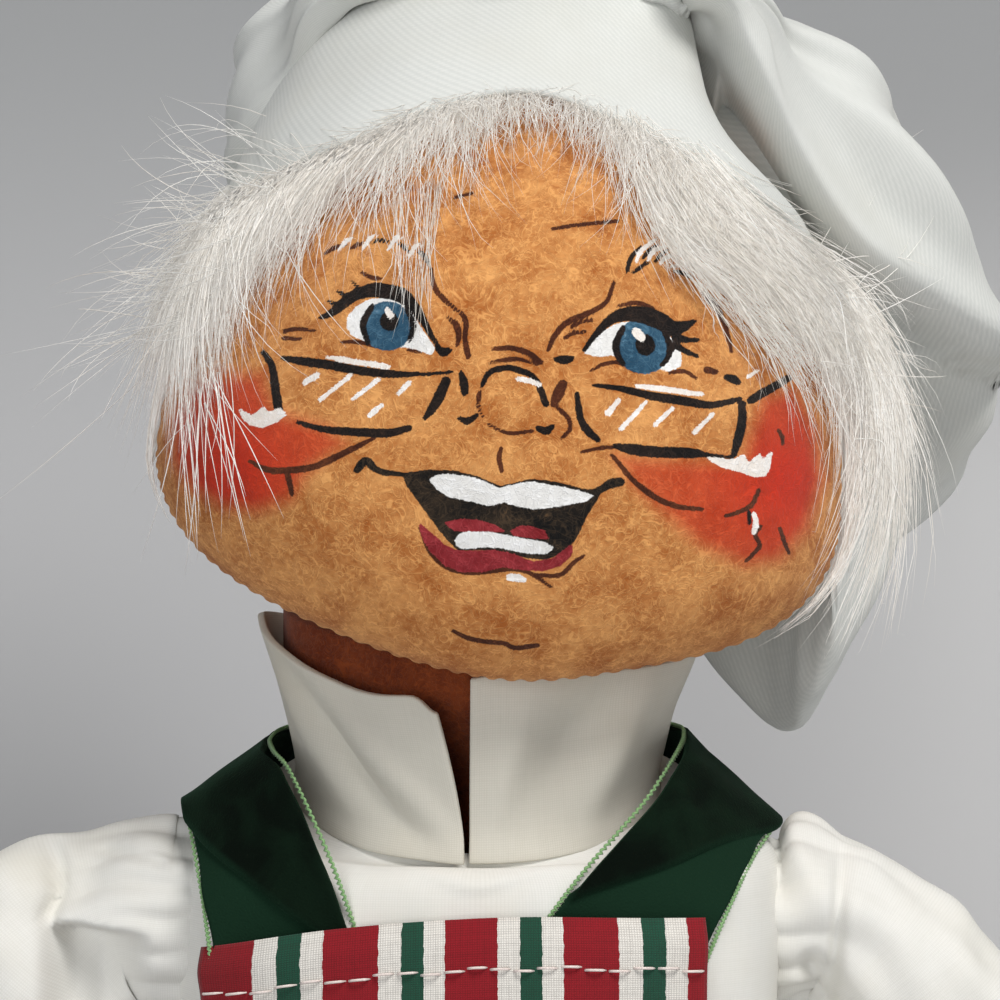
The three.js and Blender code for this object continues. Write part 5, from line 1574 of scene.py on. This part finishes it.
def tube_place(line, radius_rows, wrinkle, start=np.array((0, 1, 0))):
    """Lays a tube round a smooth line. Radius rows: share of the way, radius."""
    track = smooth_line(line, 200)
    ahead = np.gradient(track, axis=0)
    ahead /= np.linalg.norm(ahead, axis=1, keepdims=True)
    aside = np.cross(ahead, start)
    aside /= np.linalg.norm(aside, axis=1, keepdims=True)
    over = np.cross(aside, ahead)

    def place(u, v):
        turn = 2 * np.pi * u
        steps = np.linspace(0, 1, len(track))
        at = [np.stack([np.interp(v, steps, column) for column in part.T], axis=1)
              for part in (track, aside, over)]
        radius = read_rows(radius_rows, v)[:, 0]
        round_about = np.cos(turn)[:, None] * at[1] + np.sin(turn)[:, None] * at[2]
        return at[0] + round_about * (radius + wrinkle(turn, v, at[0] + 14 * round_about))[:, None]

    return place


# On the plan, creases in the front of each sleeve: a line, its half width and its depth in millimetres.
# On the doll's right sleeve the puff also hangs over, and the cloth below the overhang lies further back.
CREASES = {1: [([(843, 830), (841, 880), (836, 950), (830, 1000)], 7, 1.8),
               ([(812, 965), (818, 985), (822, 1010)], 11, 2.2)],
           -1: [([(40, 822), (54, 856), (58, 890), (48, 915)], 8, 2.6),
                ([(104, 850), (130, 855), (160, 863)], 5, 1.0)]}
OVERHANG_LINE = [(0, 890), (34, 908), (52, 922), (76, 925), (100, 930), (136, 934), (190, 936)]
HOLLOW_DEEP = 7.0


def creased(place, side):
    """Presses the creases into a sleeve."""

    def made(u, v):
        spots = place(u, v)
        plan = plan_of(spots)
        push = sum(deep * np.exp(-((line_depth(plan, line, 0.01) / wide) ** 2))
                   for line, wide, deep in CREASES[side])
        if side < 0:
            below = beside(plan, OVERHANG_LINE)
            between = ease(plan[:, 0], 34, 70) * (1 - ease(plan[:, 0], 92, 156))
            push = push + HOLLOW_DEEP * ease(below, -3, 8) * (1 - ease(below, 70, 140)) * between
        spots[:, 1] += push * ease(FRONT - spots[:, 1], 1, 8)
        return spots

    return made


for side, word in SIDES:
    shoulder, elbow, wrist, down, thin = arm_points(side)
    drop = np.array((0, 0, -2.2 if side > 0 else -3.0))
    inward = shoulder - np.array((side * 24.0, 0, -2.0)) + drop
    cuff_top = elbow + (FOREARM - 8) * down
    outer = np.array((side * 0.766, 0, 0.643))
    slim = 2.6 if side > 0 else 0.0
    line = [inward, lerp(inward, shoulder + drop, 0.5) - slim * outer * 0.6, shoulder - slim * outer + drop,
            lerp(shoulder, elbow, 0.5) - slim * outer + 0.6 * drop, elbow - slim * outer * 0.3,
            lerp(elbow, cuff_top, 0.55), cuff_top]
    rows = [(0, 2.0), (0.03, 8.0), (0.09, 11.0 - slim * 0.5), (0.18, 12.2 - slim * 0.6), (0.3, 13.0 - slim),
            (0.46, 15.0 - slim), (0.6, 14.4 - slim * 0.5), (0.68, 13.2), (0.8, 12.6), (0.92, 11.0),
            (1.0, 7.4)]
    crest, top = (0.26, 0.0) if side > 0 else (0.4, np.pi)

    def wrinkle(turn, v, spots, seed=80 + side, crest=crest, top=top):
        puffs = np.abs(np.cos(turn * 7 + 1.1 * np.sin(turn * 2 + seed))) - 0.6
        gather = 0.9 * puffs * ease(v, 0.08, 0.15) * (1 - ease(v, 0.18, 0.4))
        above = ease(np.cos(turn - top), -0.3, 0.6)
        away = v - crest - 0.03 * np.sin(2 * turn + seed)
        fold = 2.0 * np.exp(-((away / 0.035) ** 2)) - 1.6 * np.exp(-(((away + 0.085) / 0.045) ** 2))
        cuff = 0.6 * np.cos(turn * 16 + seed) * ease(v, 0.84, 0.97)
        crook = 0.9 * np.cos(v * 95 + 1.2 * np.cos(turn)) * np.exp(-(((v - 0.66) / 0.07) ** 2))
        soft = 1.1 * ripple(spots, 20, seed)
        return gather + fold * above + cuff + crook + soft + 0.5 * ripple(spots, 9, seed + 1)

    sleeve = laid(f"{word}_sleeve", 130, 170, creased(tube_place(line, rows, wrinkle), side), (90, 110),
                  ring=True)
    close_ends(sleeve)
    dress(sleeve, blouse_cotton,
          nodes=(f"{word}_upper_sleeve", f"{word}_lower_sleeve", f"{word}_upper_arm_felt",
                 f"{word}_forearm_felt"))
    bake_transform(sleeve)

    def cuff_wrinkle(turn, v, spots):
        return 0.5 * np.sin(np.pi * v) + 0.15 * ripple(spots, 7, 85)

    cuff_line = [cuff_top - down, lerp(cuff_top, wrist, 0.5), wrist + down * 0.4]
    cuff_rule = tube_place(cuff_line, [(0, 8.0), (0.5, 8.2), (1, 8.3)], cuff_wrinkle)
    cuff = laid(f"{word}_blouse_cuff", 64, 12, cuff_rule, (52, 10), ring=True)
    thick(cuff, 1.4, 0.0)
    dress(cuff, blouse_cotton, f"{word}_forearm", (f"{word}_cuff",))
print("sleeves done")

# %% [markdown]
# ## Hands
#
# A hand is two felt shapes sewn round their edge and lightly stuffed: a mitten with a thumb to the front.
# The palm and the thumb are two round forms, joined into one body by a remesh, then smoothed.

# %% Mitten hands
PALM = [(0, 0.62, 0.95), (0.2, 0.78, 1.05), (0.5, 1, 1), (0.8, 0.92, 0.86), (0.93, 0.66, 0.62),
        (1, 0.16, 0.16)]


def hand_piece(side, word):
    *_, wrist, down, thin = arm_points(side)
    ahead = np.cross(thin, down) * side

    def in_place(spots):
        return wrist + spots[:, :1] * thin + spots[:, 1:2] * -ahead + spots[:, 2:] * down

    def palm(u, v):
        wide, fat = read_rows(PALM, v).T
        turn = 2 * np.pi * u
        return in_place(xyz(4.5 * fat * np.cos(turn), 10 * wide * np.sin(turn), 31 * v - 1.5))

    def thumb(u, v):
        turn = 2 * np.pi * u
        radius = 3.6 * np.sqrt(np.clip(1 - (2 * v - 1) ** 6, 0.01, 1))
        return in_place(xyz(radius * np.cos(turn), lerp(-3.5, -15, v) + radius * np.sin(turn),
                            lerp(5.0, 18.0, v)))

    parts = [close_ends(laid(f"{word}_{part}", 32, 28, rule, (30, 30), ring=True))
             for part, rule in (("palm", palm), ("thumb", thumb))]
    only(parts[0])
    parts[1].select_set(True)
    bpy.ops.object.join()
    hand = bpy.context.object
    hand.name = hand.data.name = f"{word}_mitten"
    finish_with(hand, "REMESH", mode="VOXEL", voxel_size=0.55 * MM)
    finish_with(hand, "SMOOTH", factor=0.5, iterations=6)
    bpy.ops.object.shade_smooth()
    dress(hand, tan_felt, f"{word}_forearm", (f"{word}_hand",))
    return hand


hands = [hand_piece(side, word) for side, word in SIDES]
print("hand faces:", [len(hand.data.polygons) for hand in hands])

# %% [markdown]
# ## Trousers
#
# Red felt trousers: a seat that closes the body below the waist, and two stuffed legs with creases at the
# knee.

# %% Seat and legs
# Each row: height, half width, reach to the front and to the back.
SEAT = [(139.5, 24.0, 11.0, 11.0), (140.4, 31.0, 17.0, 17.0), (143.5, 34.8, 20.5, 20.5),
        (149, 37.2, 24.5, 24.0), (157, 39.4, 29.5, 27.6), (166, 40.2, 32.6, 29.0),
        (WAIST_LOW + 1, 39.9, 32.9, 28.9)]


def seat_place(u, v):
    angle = 2 * np.pi * u
    height = lerp(SEAT[0][0], SEAT[-1][0], np.clip((v - 0.2) / 0.8, 0, 1) ** 1.4)
    wide, front, back = read_rows(SEAT, height).T
    reach = np.where(np.cos(angle) > 0, front, back)
    under = np.clip(v / 0.2, 0.02, 1)
    cleft = (1.6 * np.exp(-((np.sin(angle) / 0.12) ** 2)) * ease(height, 140, 146)
             * (1 - ease(height, 152, 166)))
    return xyz(wide * rounded(np.sin(angle), 2.4) * under,
               FRONT - (reach - cleft) * rounded(np.cos(angle), 2.4) * under,
               height - 0.8 * (1 - under))


seat = laid("trouser_seat_felt", 120, 40, seat_place, (215, 50), ring=True)
close_ends(seat)
dress(seat, red_felt, "torso", ("trouser_seat",))

KNEE, KNEE_REACH, HIP_X = 80.6, 12, 19.0
for side, word in SIDES:
    x = side * HIP_X
    line = [(x, FRONT, z) for z in (145.4, 138, 130.6, 112, 96, 80.6, 64, 48, 29.2)]
    rows = [(0, 1.0), (0.02, 5.5), (0.07, 11.0), (0.125, 14.2), (0.25, 15.2), (0.45, 14.9), (0.56, 13.9),
            (0.75, 12.8), (1.0, 12.2)]

    def leg_wrinkle(turn, v, spots, seed=90 + side):
        knee = 0.55 * np.cos(v * 78 + 1.1 * np.cos(turn)) * np.exp(-(((v - 0.6) / 0.09) ** 2))
        return knee + 0.45 * ripple(spots, 24, seed) * ease(v, 0.02, 0.2)

    leg = laid(f"{word}_trouser_leg", 80, 110, tube_place(line, rows, leg_wrinkle), (95, 115), ring=True)
    close_ends(leg)
    dress(leg, red_felt, nodes=(f"{word}_thigh_trouser", f"{word}_shin_trouser",
                                            f"{word}_thigh_felt", f"{word}_shin_felt"))
    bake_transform(leg)
print("trousers done")

# %% [markdown]
# ## Shoes
#
# The shoes are black felt on a thick flat sole, with a seam round the edge. The sole starts as a circle
# that is shaped to a footprint, extruded up by its thickness and bevelled. The upper is a tube from the
# sole to the ankle.

# %% Shoes
SOLE, SOLE_LONG, SOLE_HALF, TOE_SHARE, ANKLE_RADIUS, SHOE_HIGH = 4.0, 70, 16, 0.66, 11.2, 26.8


def footprint(angle, share):
    toe = np.cos(angle) > 0
    wide = SOLE_HALF * np.where(toe, 1, lerp(1, 0.84, -np.cos(angle)))
    long = np.where(toe, SOLE_LONG * TOE_SHARE, SOLE_LONG * (1 - TOE_SHARE))
    return wide * rounded(np.sin(angle), 2.3) * share, -long * rounded(np.cos(angle), 2.3) * share


UPPER = [(0, 0.95, 0), (0.25, 0.95, 0), (0.5, 0.82, 0.12), (0.72, 0.62, 0.5), (0.88, 0.5, 0.85),
         (1, 0.45, 1)]


def upper_form(angle, v, out=0.0):
    share, to_ankle = read_rows(UPPER, v).T
    x, y = footprint(angle, share + out / 30)
    x, y = lerp(x, ANKLE_RADIUS * np.sin(angle), to_ankle), lerp(y, -ANKLE_RADIUS * np.cos(angle), to_ankle)
    return x, y, SOLE + 0.2 + SHOE_HIGH * v


for side, word in SIDES:
    bpy.ops.object.select_all(action="DESELECT")
    bpy.ops.mesh.primitive_circle_add(vertices=96, radius=1, fill_type="NGON")
    sole = bpy.context.object
    sole.name = sole.data.name = f"{word}_shoe_sole_felt"
    for vertex in sole.data.vertices:
        x, y = footprint(np.array(math.atan2(vertex.co.x, -vertex.co.y)), 1.0)
        vertex.co = ((side * HIP_X + float(x)) * MM, (FRONT + float(y)) * MM, 0)
    with editing(sole):
        bpy.ops.mesh.extrude_region_move(TRANSFORM_OT_translate={"value": (0, 0, SOLE * MM)})
    outward(sole)
    finish_with(sole, "BEVEL", width=0.7 * MM, segments=3, limit_method="ANGLE", angle_limit=0.9)
    bpy.ops.object.shade_smooth_by_angle(angle=0.7)
    dress(sole, sole_felt, f"{word}_shin", (f"{word}_shoe_sole",))

    def upper_place(u, v, side=side):
        x, y, z = upper_form(2 * np.pi * u, v, 0.35 * np.exp(-((v / 0.06) ** 2)))
        puff = 0.5 * ripple(xyz(x, y, z), 20, 95 + side)
        return xyz(side * HIP_X + x * (1 + puff / 40), FRONT + y * (1 + puff / 60), z)

    upper = laid(f"{word}_shoe_felt", 110, 50, upper_place, (170, 40), ring=True)
    close_ends(upper)
    dress(upper, black_felt, f"{word}_shin", (f"{word}_shoe_upper",))

    around = np.linspace(0, 2 * np.pi, 60, endpoint=False)
    ends = []
    for lean, v, out in ((-0.012, 0.075, 0.2), (-0.004, 0.045, 0.5), (0.008, 0.012, 0.55)):
        x, y, z = upper_form(around + lean, np.full(60, v), out + 0.4)
        ends.append(xyz(side * HIP_X + x, FRONT + y, z))
    seam = merged(f"{word}_shoe_stitches", *strands(np.stack(ends, axis=1), 0.28, 5, 0.7))
    outward(seam)
    dress(seam, sole_felt, f"{word}_shin")
print("shoes done")

# %% [markdown]
# ## White fur hair
#
# The hair is long white fur, parted in the middle at the hat's edge and swept to both sides like curtains.
# A thin cap of the same colour fills the ground. Thousands of tapered strands follow guide lines drawn on
# the plan, each carried onto the head at its own distance out, with its own shade. More hang down at the
# back.

# %% Fur cap
dice = np.random.default_rng(2411)


def shade_strands(obj, shades):
    """Stores each point's shade, which the fur finish reads."""
    layer = obj.data.attributes.new("tint", "FLOAT", "POINT")
    layer.data.foreach_set("value", np.asarray(shades, np.float32))


def cap_place(u, v):
    angle = 2 * np.pi * u
    below = hump(angle, -90, 104)
    spread = lerp(0.97, 0.66, ease(below, 0.0, 0.35)) * np.sin(np.pi / 2 * lerp(0.002, 1, v)) ** 0.9
    return on_neck(head_form(angle, spread, 1.6, front=False) + xyz(0, 0.3, 0))


cap = laid("fur_ground", 150, 60, cap_place, (200, 60), ring=True)
outward(thick(cap, 1.2))
shade_strands(cap, 0.55 + 0.3 * dice.random(len(cap.data.vertices)))
dress(cap, white_fur, "head", ("fur_wig",))
print("cap faces:", len(cap.data.polygons))

# %% Front strands
# Guide lines on the plan, from a root under the hat's edge to a tip, from the innermost to the outermost.
FALL_RIGHT = [
    [(440, 104), (384, 154), (318, 218)], [(400, 120), (335, 182), (266, 272)],
    [(360, 136), (290, 212), (226, 318)], [(320, 152), (250, 238), (196, 365)],
    [(282, 168), (215, 264), (176, 400)], [(250, 182), (191, 290), (164, 440)],
    [(222, 196), (176, 310), (161, 465)]]
FRINGE_RIGHT = [
    [(548, 70), (535, 118), (515, 165)], [(510, 76), (488, 126), (462, 190)],
    [(470, 90), (440, 148), (410, 225)], [(435, 104), (398, 168), (365, 255)],
    [(400, 120), (350, 192), (310, 282)]]
EYE_LOCK = [[(452, 160), (436, 240), (424, 300), (422, 356)],
            [(392, 176), (398, 246), (402, 300), (399, 346)]]
FRINGE_LEFT = [
    [(546, 70), (560, 116), (578, 162)], [(580, 78), (600, 136), (620, 202)],
    [(610, 90), (632, 162), (642, 256)], [(640, 108), (680, 188), (702, 264)]]
SWEEP_LEFT = [
    [(618, 100), (661, 196), (694, 238), (739, 269), (776, 306), (810, 340), (840, 398), (852, 500)],
    [(635, 108), (688, 198), (722, 236), (768, 272), (808, 312), (842, 362), (868, 430), (860, 560)],
    [(655, 120), (715, 202), (756, 242), (804, 280), (846, 326), (876, 396), (886, 480), (862, 610)],
    [(686, 124), (754, 198), (805, 244), (852, 290), (884, 358), (898, 440), (892, 540), (850, 645)]]
VEIL_LEFT = [
    [(588, 86), (622, 160), (655, 232), (700, 282), (745, 326), (786, 372), (818, 430), (836, 500)],
    [(606, 92), (650, 186), (690, 244), (738, 278), (778, 318), (812, 356), (838, 414), (848, 500)]]
STEPS = 10


def guide_point(guides, shares, stops):
    """Plan points at shares across the guides and at stops along them."""
    field = np.stack([smooth_line(guide, STEPS) for guide in guides])
    across, along = shares * (len(field) - 1), stops * (STEPS - 1)
    i = np.clip(across.astype(int), 0, len(field) - 2)
    k = np.clip(along.astype(int), 0, STEPS - 2)
    a, b = (across - i)[..., None], (along - k)[..., None]
    return lerp(lerp(field[i, k], field[i + 1, k], a), lerp(field[i, k + 1], field[i + 1, k + 1], a), b)


def flow(guides, shares, starts, lengths, jitter, locks, sway):
    """Plan paths along the guides. Each strand is drawn towards the tip of its lock."""
    many = len(shares)
    homes = np.sort(dice.random(locks))
    which = np.abs(shares[:, None] - homes[None, :]).argmin(1)
    t = np.linspace(0, 1, STEPS)[None, :]
    pulled = lerp(shares[:, None], homes[which][:, None], 0.55 * t**1.2)
    paths = guide_point(guides, pulled, np.minimum(starts[:, None] + lengths[:, None] * t, 1))
    swing = dice.normal(size=(many, 1)) * sway * (0.4 + 0.6 * t)
    off = paths - paths[:, :1]
    paths = paths[:, :1] + np.stack((off[..., 0] * np.cos(swing) - off[..., 1] * np.sin(swing),
                                     off[..., 0] * np.sin(swing) + off[..., 1] * np.cos(swing)), axis=-1)
    bend = (0.35 + t**1.3)[..., None]
    drift = ((dice.normal(size=(locks, 1, 2))[which] * 0.7 + dice.normal(size=(many, 1, 2)) * 0.6)
             * jitter * bend)
    wave = np.sin(t * dice.uniform(4, 13, (many, 1)) + dice.uniform(0, 6.3, (many, 1)))[..., None]
    return paths + drift + wave * dice.normal(size=(many, 1, 2)) * jitter * 0.35 * t[..., None]


def as_fur(obj, shades):
    """Finishes a piece of fur that moves with the head."""
    shade_strands(obj, shades)
    return dress(obj, white_fur, "head")


def hair_piece(name, spots, radii, shades, tip=0.12):
    """One piece of fur from strands of the same number of points, each with its radius and shade."""
    return as_fur(merged(name, *strands(spots, radii, 3, tip)), np.repeat(shades, spots.shape[1] * 3))


def front_hair(name, guides, many, jitter, radius, rise, locks, lengths=(0.5, 1.0), dense=1.0, sway=0.13,
               starts=(0, 0), white=2.6):
    """One piece of strands over a side of the face. With dense below 1, fewer start at the inner guide."""
    shares = dice.random(many) ** dense
    reach = lerp(*lengths, dice.random(many) ** 1.5)
    paths = flow(guides, shares, dice.uniform(*starts, many), reach, jitter, locks, sway)
    t = np.linspace(0, 1, STEPS)[None, :]
    out = (0.9 + (dice.random((many, 1)) ** 1.4) * rise
           * (0.3 + 0.7 * np.sin(np.pi * np.clip(t * 0.75 + 0.2, 0, 1))) + shares[:, None])
    out = lerp(-2.5, out, ease(t, 0, 0.16))
    spots = over_head(paths, out)
    radii = dice.uniform(0.6, 1.3, many) * radius
    return hair_piece(name, spots, radii, 0.7 * dice.beta(white, 1.5, many) + 0.3 * shares)


def fur_patch(name, guides, inner, outer, length):
    """The backing of the fur between two shares across the guides."""

    def place(u, v):
        ragged = length * (1 + 0.07 * np.sin(41 * u) + 0.05 * np.sin(97 * u + 1))
        return over_head(guide_point(guides, lerp(inner, outer, u), v * ragged),
                         0.7 + 0.5 * lerp(inner, outer, u))

    made = outward(thick(laid(name, 90, 40, place, (60, 40)), 0.4))
    return as_fur(made, 0.6 + 0.4 * dice.random(len(made.data.vertices)))


right_hair = front_hair("fur_curtain_right", FALL_RIGHT, 3200, 9, 0.056, 3.0, 120, (0.25, 1.0), 0.5, 0.1)
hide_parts("fur_fringe")
front_hair("fur_under_right", FALL_RIGHT[2:], 1300, 8, 0.066, 1.2, 120, (0.3, 0.8), 0.8, 0.07)
fur_patch("fur_backing_right", FALL_RIGHT, 0.5, 1.0, 0.5)
front_hair("fur_fuzz_right", FALL_RIGHT, 600, 12, 0.05, 3.6, 160, (0.3, 0.8), 0.8, 0.3)
front_hair("fur_fringe_right", FRINGE_RIGHT, 820, 15, 0.042, 1.6, 300, (0.3, 0.95), 0.85, 0.4, white=1.5)
front_hair("fur_eye_lock", EYE_LOCK, 34, 9, 0.042, 1.6, 30, (0.6, 1.0), 1.0, 0.05, white=1.6)
left_hair = front_hair("fur_sweep_left", SWEEP_LEFT, 3300, 9, 0.054, 2.4, 220, (0.15, 0.5), 0.75, 0.1,
                       (0, 0.62))
front_hair("fur_under_left", SWEEP_LEFT, 1400, 7, 0.062, 1.2, 160, (0.2, 0.45), 0.75, 0.06, (0, 0.5))
fur_patch("fur_backing_left", SWEEP_LEFT, 0.35, 0.98, 0.62)
front_hair("fur_veil_left", VEIL_LEFT, 560, 11, 0.042, 1.6, 200, (0.15, 0.4), 1.0, 0.12, (0, 0.6), 1.5)
front_hair("fur_fuzz_left", SWEEP_LEFT, 420, 11, 0.046, 3.0, 160, (0.15, 0.35), 0.85, 0.25, (0, 0.6))
front_hair("fur_fringe_left", FRINGE_LEFT, 560, 14, 0.042, 1.6, 240, (0.25, 0.9), 0.9, 0.36, white=1.5)
print("front strand faces:", len(right_hair.data.polygons), len(left_hair.data.polygons))

# %% Flyaway hairs
# Short hairs cross the hat's edge, and a few long ones stand away from the rest.
HAT_EDGE = [(236, 200), (300, 170), (370, 138), (430, 112), (490, 98), (550, 96), (610, 112), (660, 146),
            (705, 186), (760, 240)]


def edge_hairs(name, many):
    """Short fine hairs along the hat's edge, most of them pointing down, each at its own slant."""
    line = smooth_line(HAT_EDGE, 60)
    at = dice.random(many) * 58.9
    root = (lerp(line[at.astype(int)], line[at.astype(int) + 1], (at % 1)[:, None])
            + dice.normal(size=(many, 2)) * 5)
    slant = np.pi / 2 + dice.normal(size=many) * 0.75
    tip = root + np.stack((np.cos(slant), np.sin(slant)), axis=1) * dice.uniform(16, 46, (many, 1))
    t = np.linspace(0, 1, 5)[None, :, None]
    paths = lerp(root[:, None], tip[:, None], t) + dice.normal(size=(many, 1, 2)) * 16 * t * (1 - t)
    out = 2.2 + 1.6 * dice.random((many, 1)) * np.ones((1, 5))
    spots = over_head(paths, out)
    return hair_piece(name, spots, dice.uniform(0.6, 1.2, many) * 0.042, dice.beta(2.4, 1.5, many))


def loose_hairs(name, roots, tips, many, lift, curl):
    """Single hairs from a line of roots to a line of tips, on the plan."""
    share = dice.random(many)
    root = (lerp(np.array(roots[0], float), np.array(roots[1], float), share[:, None])
            + dice.normal(size=(many, 2)) * 9)
    tip = lerp(np.array(tips[0], float), np.array(tips[1], float),
               (share + dice.normal(size=many) * 0.2)[:, None])
    tip = tip + dice.normal(size=(many, 2)) * 24
    t = np.linspace(0, 1, STEPS)[None, :, None]
    sag = dice.normal(size=(many, 1, 2)) * curl + np.array((0, -0.4 * curl))
    paths = root[:, None] * (1 - t) + tip[:, None] * t + sag * 4 * t * (1 - t)
    out = 3.0 + lift * dice.random((many, 1)) * np.linspace(0, 1, STEPS)[None, :]
    spots = over_head(paths, out)
    return hair_piece(name, spots, dice.uniform(0.5, 1.1, many) * 0.075, dice.beta(4, 1.2, many), 0.15)


edge_hairs("fur_hat_edge", 900)
loose = [loose_hairs("fur_loose_right", ((330, 165), (190, 320)), ((190, 120), (60, 380)), 110, 6, 16),
         loose_hairs("fur_loose_left", ((800, 280), (870, 460)), ((900, 270), (925, 520)), 30, 3, 16),
         loose_hairs("fur_loose_low", ((215, 360), (180, 420)), ((236, 500), (180, 540)), 26, 1, 5)]
print("loose hair pieces:", len(loose))

# %% Hair at the sides


def side_hair(name, side, many, ends, lift):
    """Strands from the hat's edge down one side of the head, behind the seam. Ends are angles in degrees."""
    t = np.linspace(0, 1, STEPS)[None, :]
    start, end = (np.radians(dice.uniform(*span, (many, 1))) for span in ((30, 44), ends))
    angle = (lerp(start, end, t) + 0.05 * dice.normal(size=(many, 1))
             * np.sin(t * dice.uniform(3, 8, (many, 1))))
    spread = np.clip(dice.uniform(0.6, 0.98, (many, 1)) + 0.05 * dice.normal(size=(many, 1)) * t, 0.5, 1)
    out = 0.8 + lift * dice.random((many, 1)) * (0.4 + 0.6 * np.sin(np.pi * t))
    spots = on_neck(head_form(angle if side > 0 else np.pi - angle, spread, out, front=False)
                    + xyz(0, 0.3, 0))
    return hair_piece(name, spots, dice.uniform(0.6, 1.3, many) * 0.1, dice.beta(3, 1.6, many))


sides = [side_hair("fur_side_left", 1, 1900, (-40, -8), 2.0),
         side_hair("fur_side_right", -1, 1900, (-22, 6), 0.9)]
print("side hair faces:", [len(hair.data.polygons) for hair in sides])

# %% Hair at the back
back_depth = depth_field(*BACK_POLE, 1, 0)
BACK_HAIRS = 3000
column = dice.uniform(-1, 1, BACK_HAIRS)
start = dice.uniform(20, 62, BACK_HAIRS)
length = dice.uniform(18, 34, BACK_HAIRS)
t = np.linspace(0, 1, STEPS)[None, :]
z = np.maximum(start[:, None] - length[:, None] * t,
               5 + 15 * column[:, None] ** 2 + 6 * dice.random((BACK_HAIRS, 1)))
wide = np.interp(z, (5, 15, 30, 46, 57, 70), (12, 26, 41.5, 41.3, 37.6, 27))
x = column[:, None] * wide + dice.normal(size=(BACK_HAIRS, 1)) * 1.6 * t
out = 1.2 + dice.random((BACK_HAIRS, 1)) * 2.6 * (0.3 + 0.7 * np.sin(np.pi * t))
spots = on_neck(xyz(x, back_depth(x, z, out) + 0.3, z))
hair_piece("fur_back", spots, dice.uniform(0.6, 1.3, BACK_HAIRS) * 0.11, dice.beta(3, 1.6, BACK_HAIRS))
print("back strands:", BACK_HAIRS)
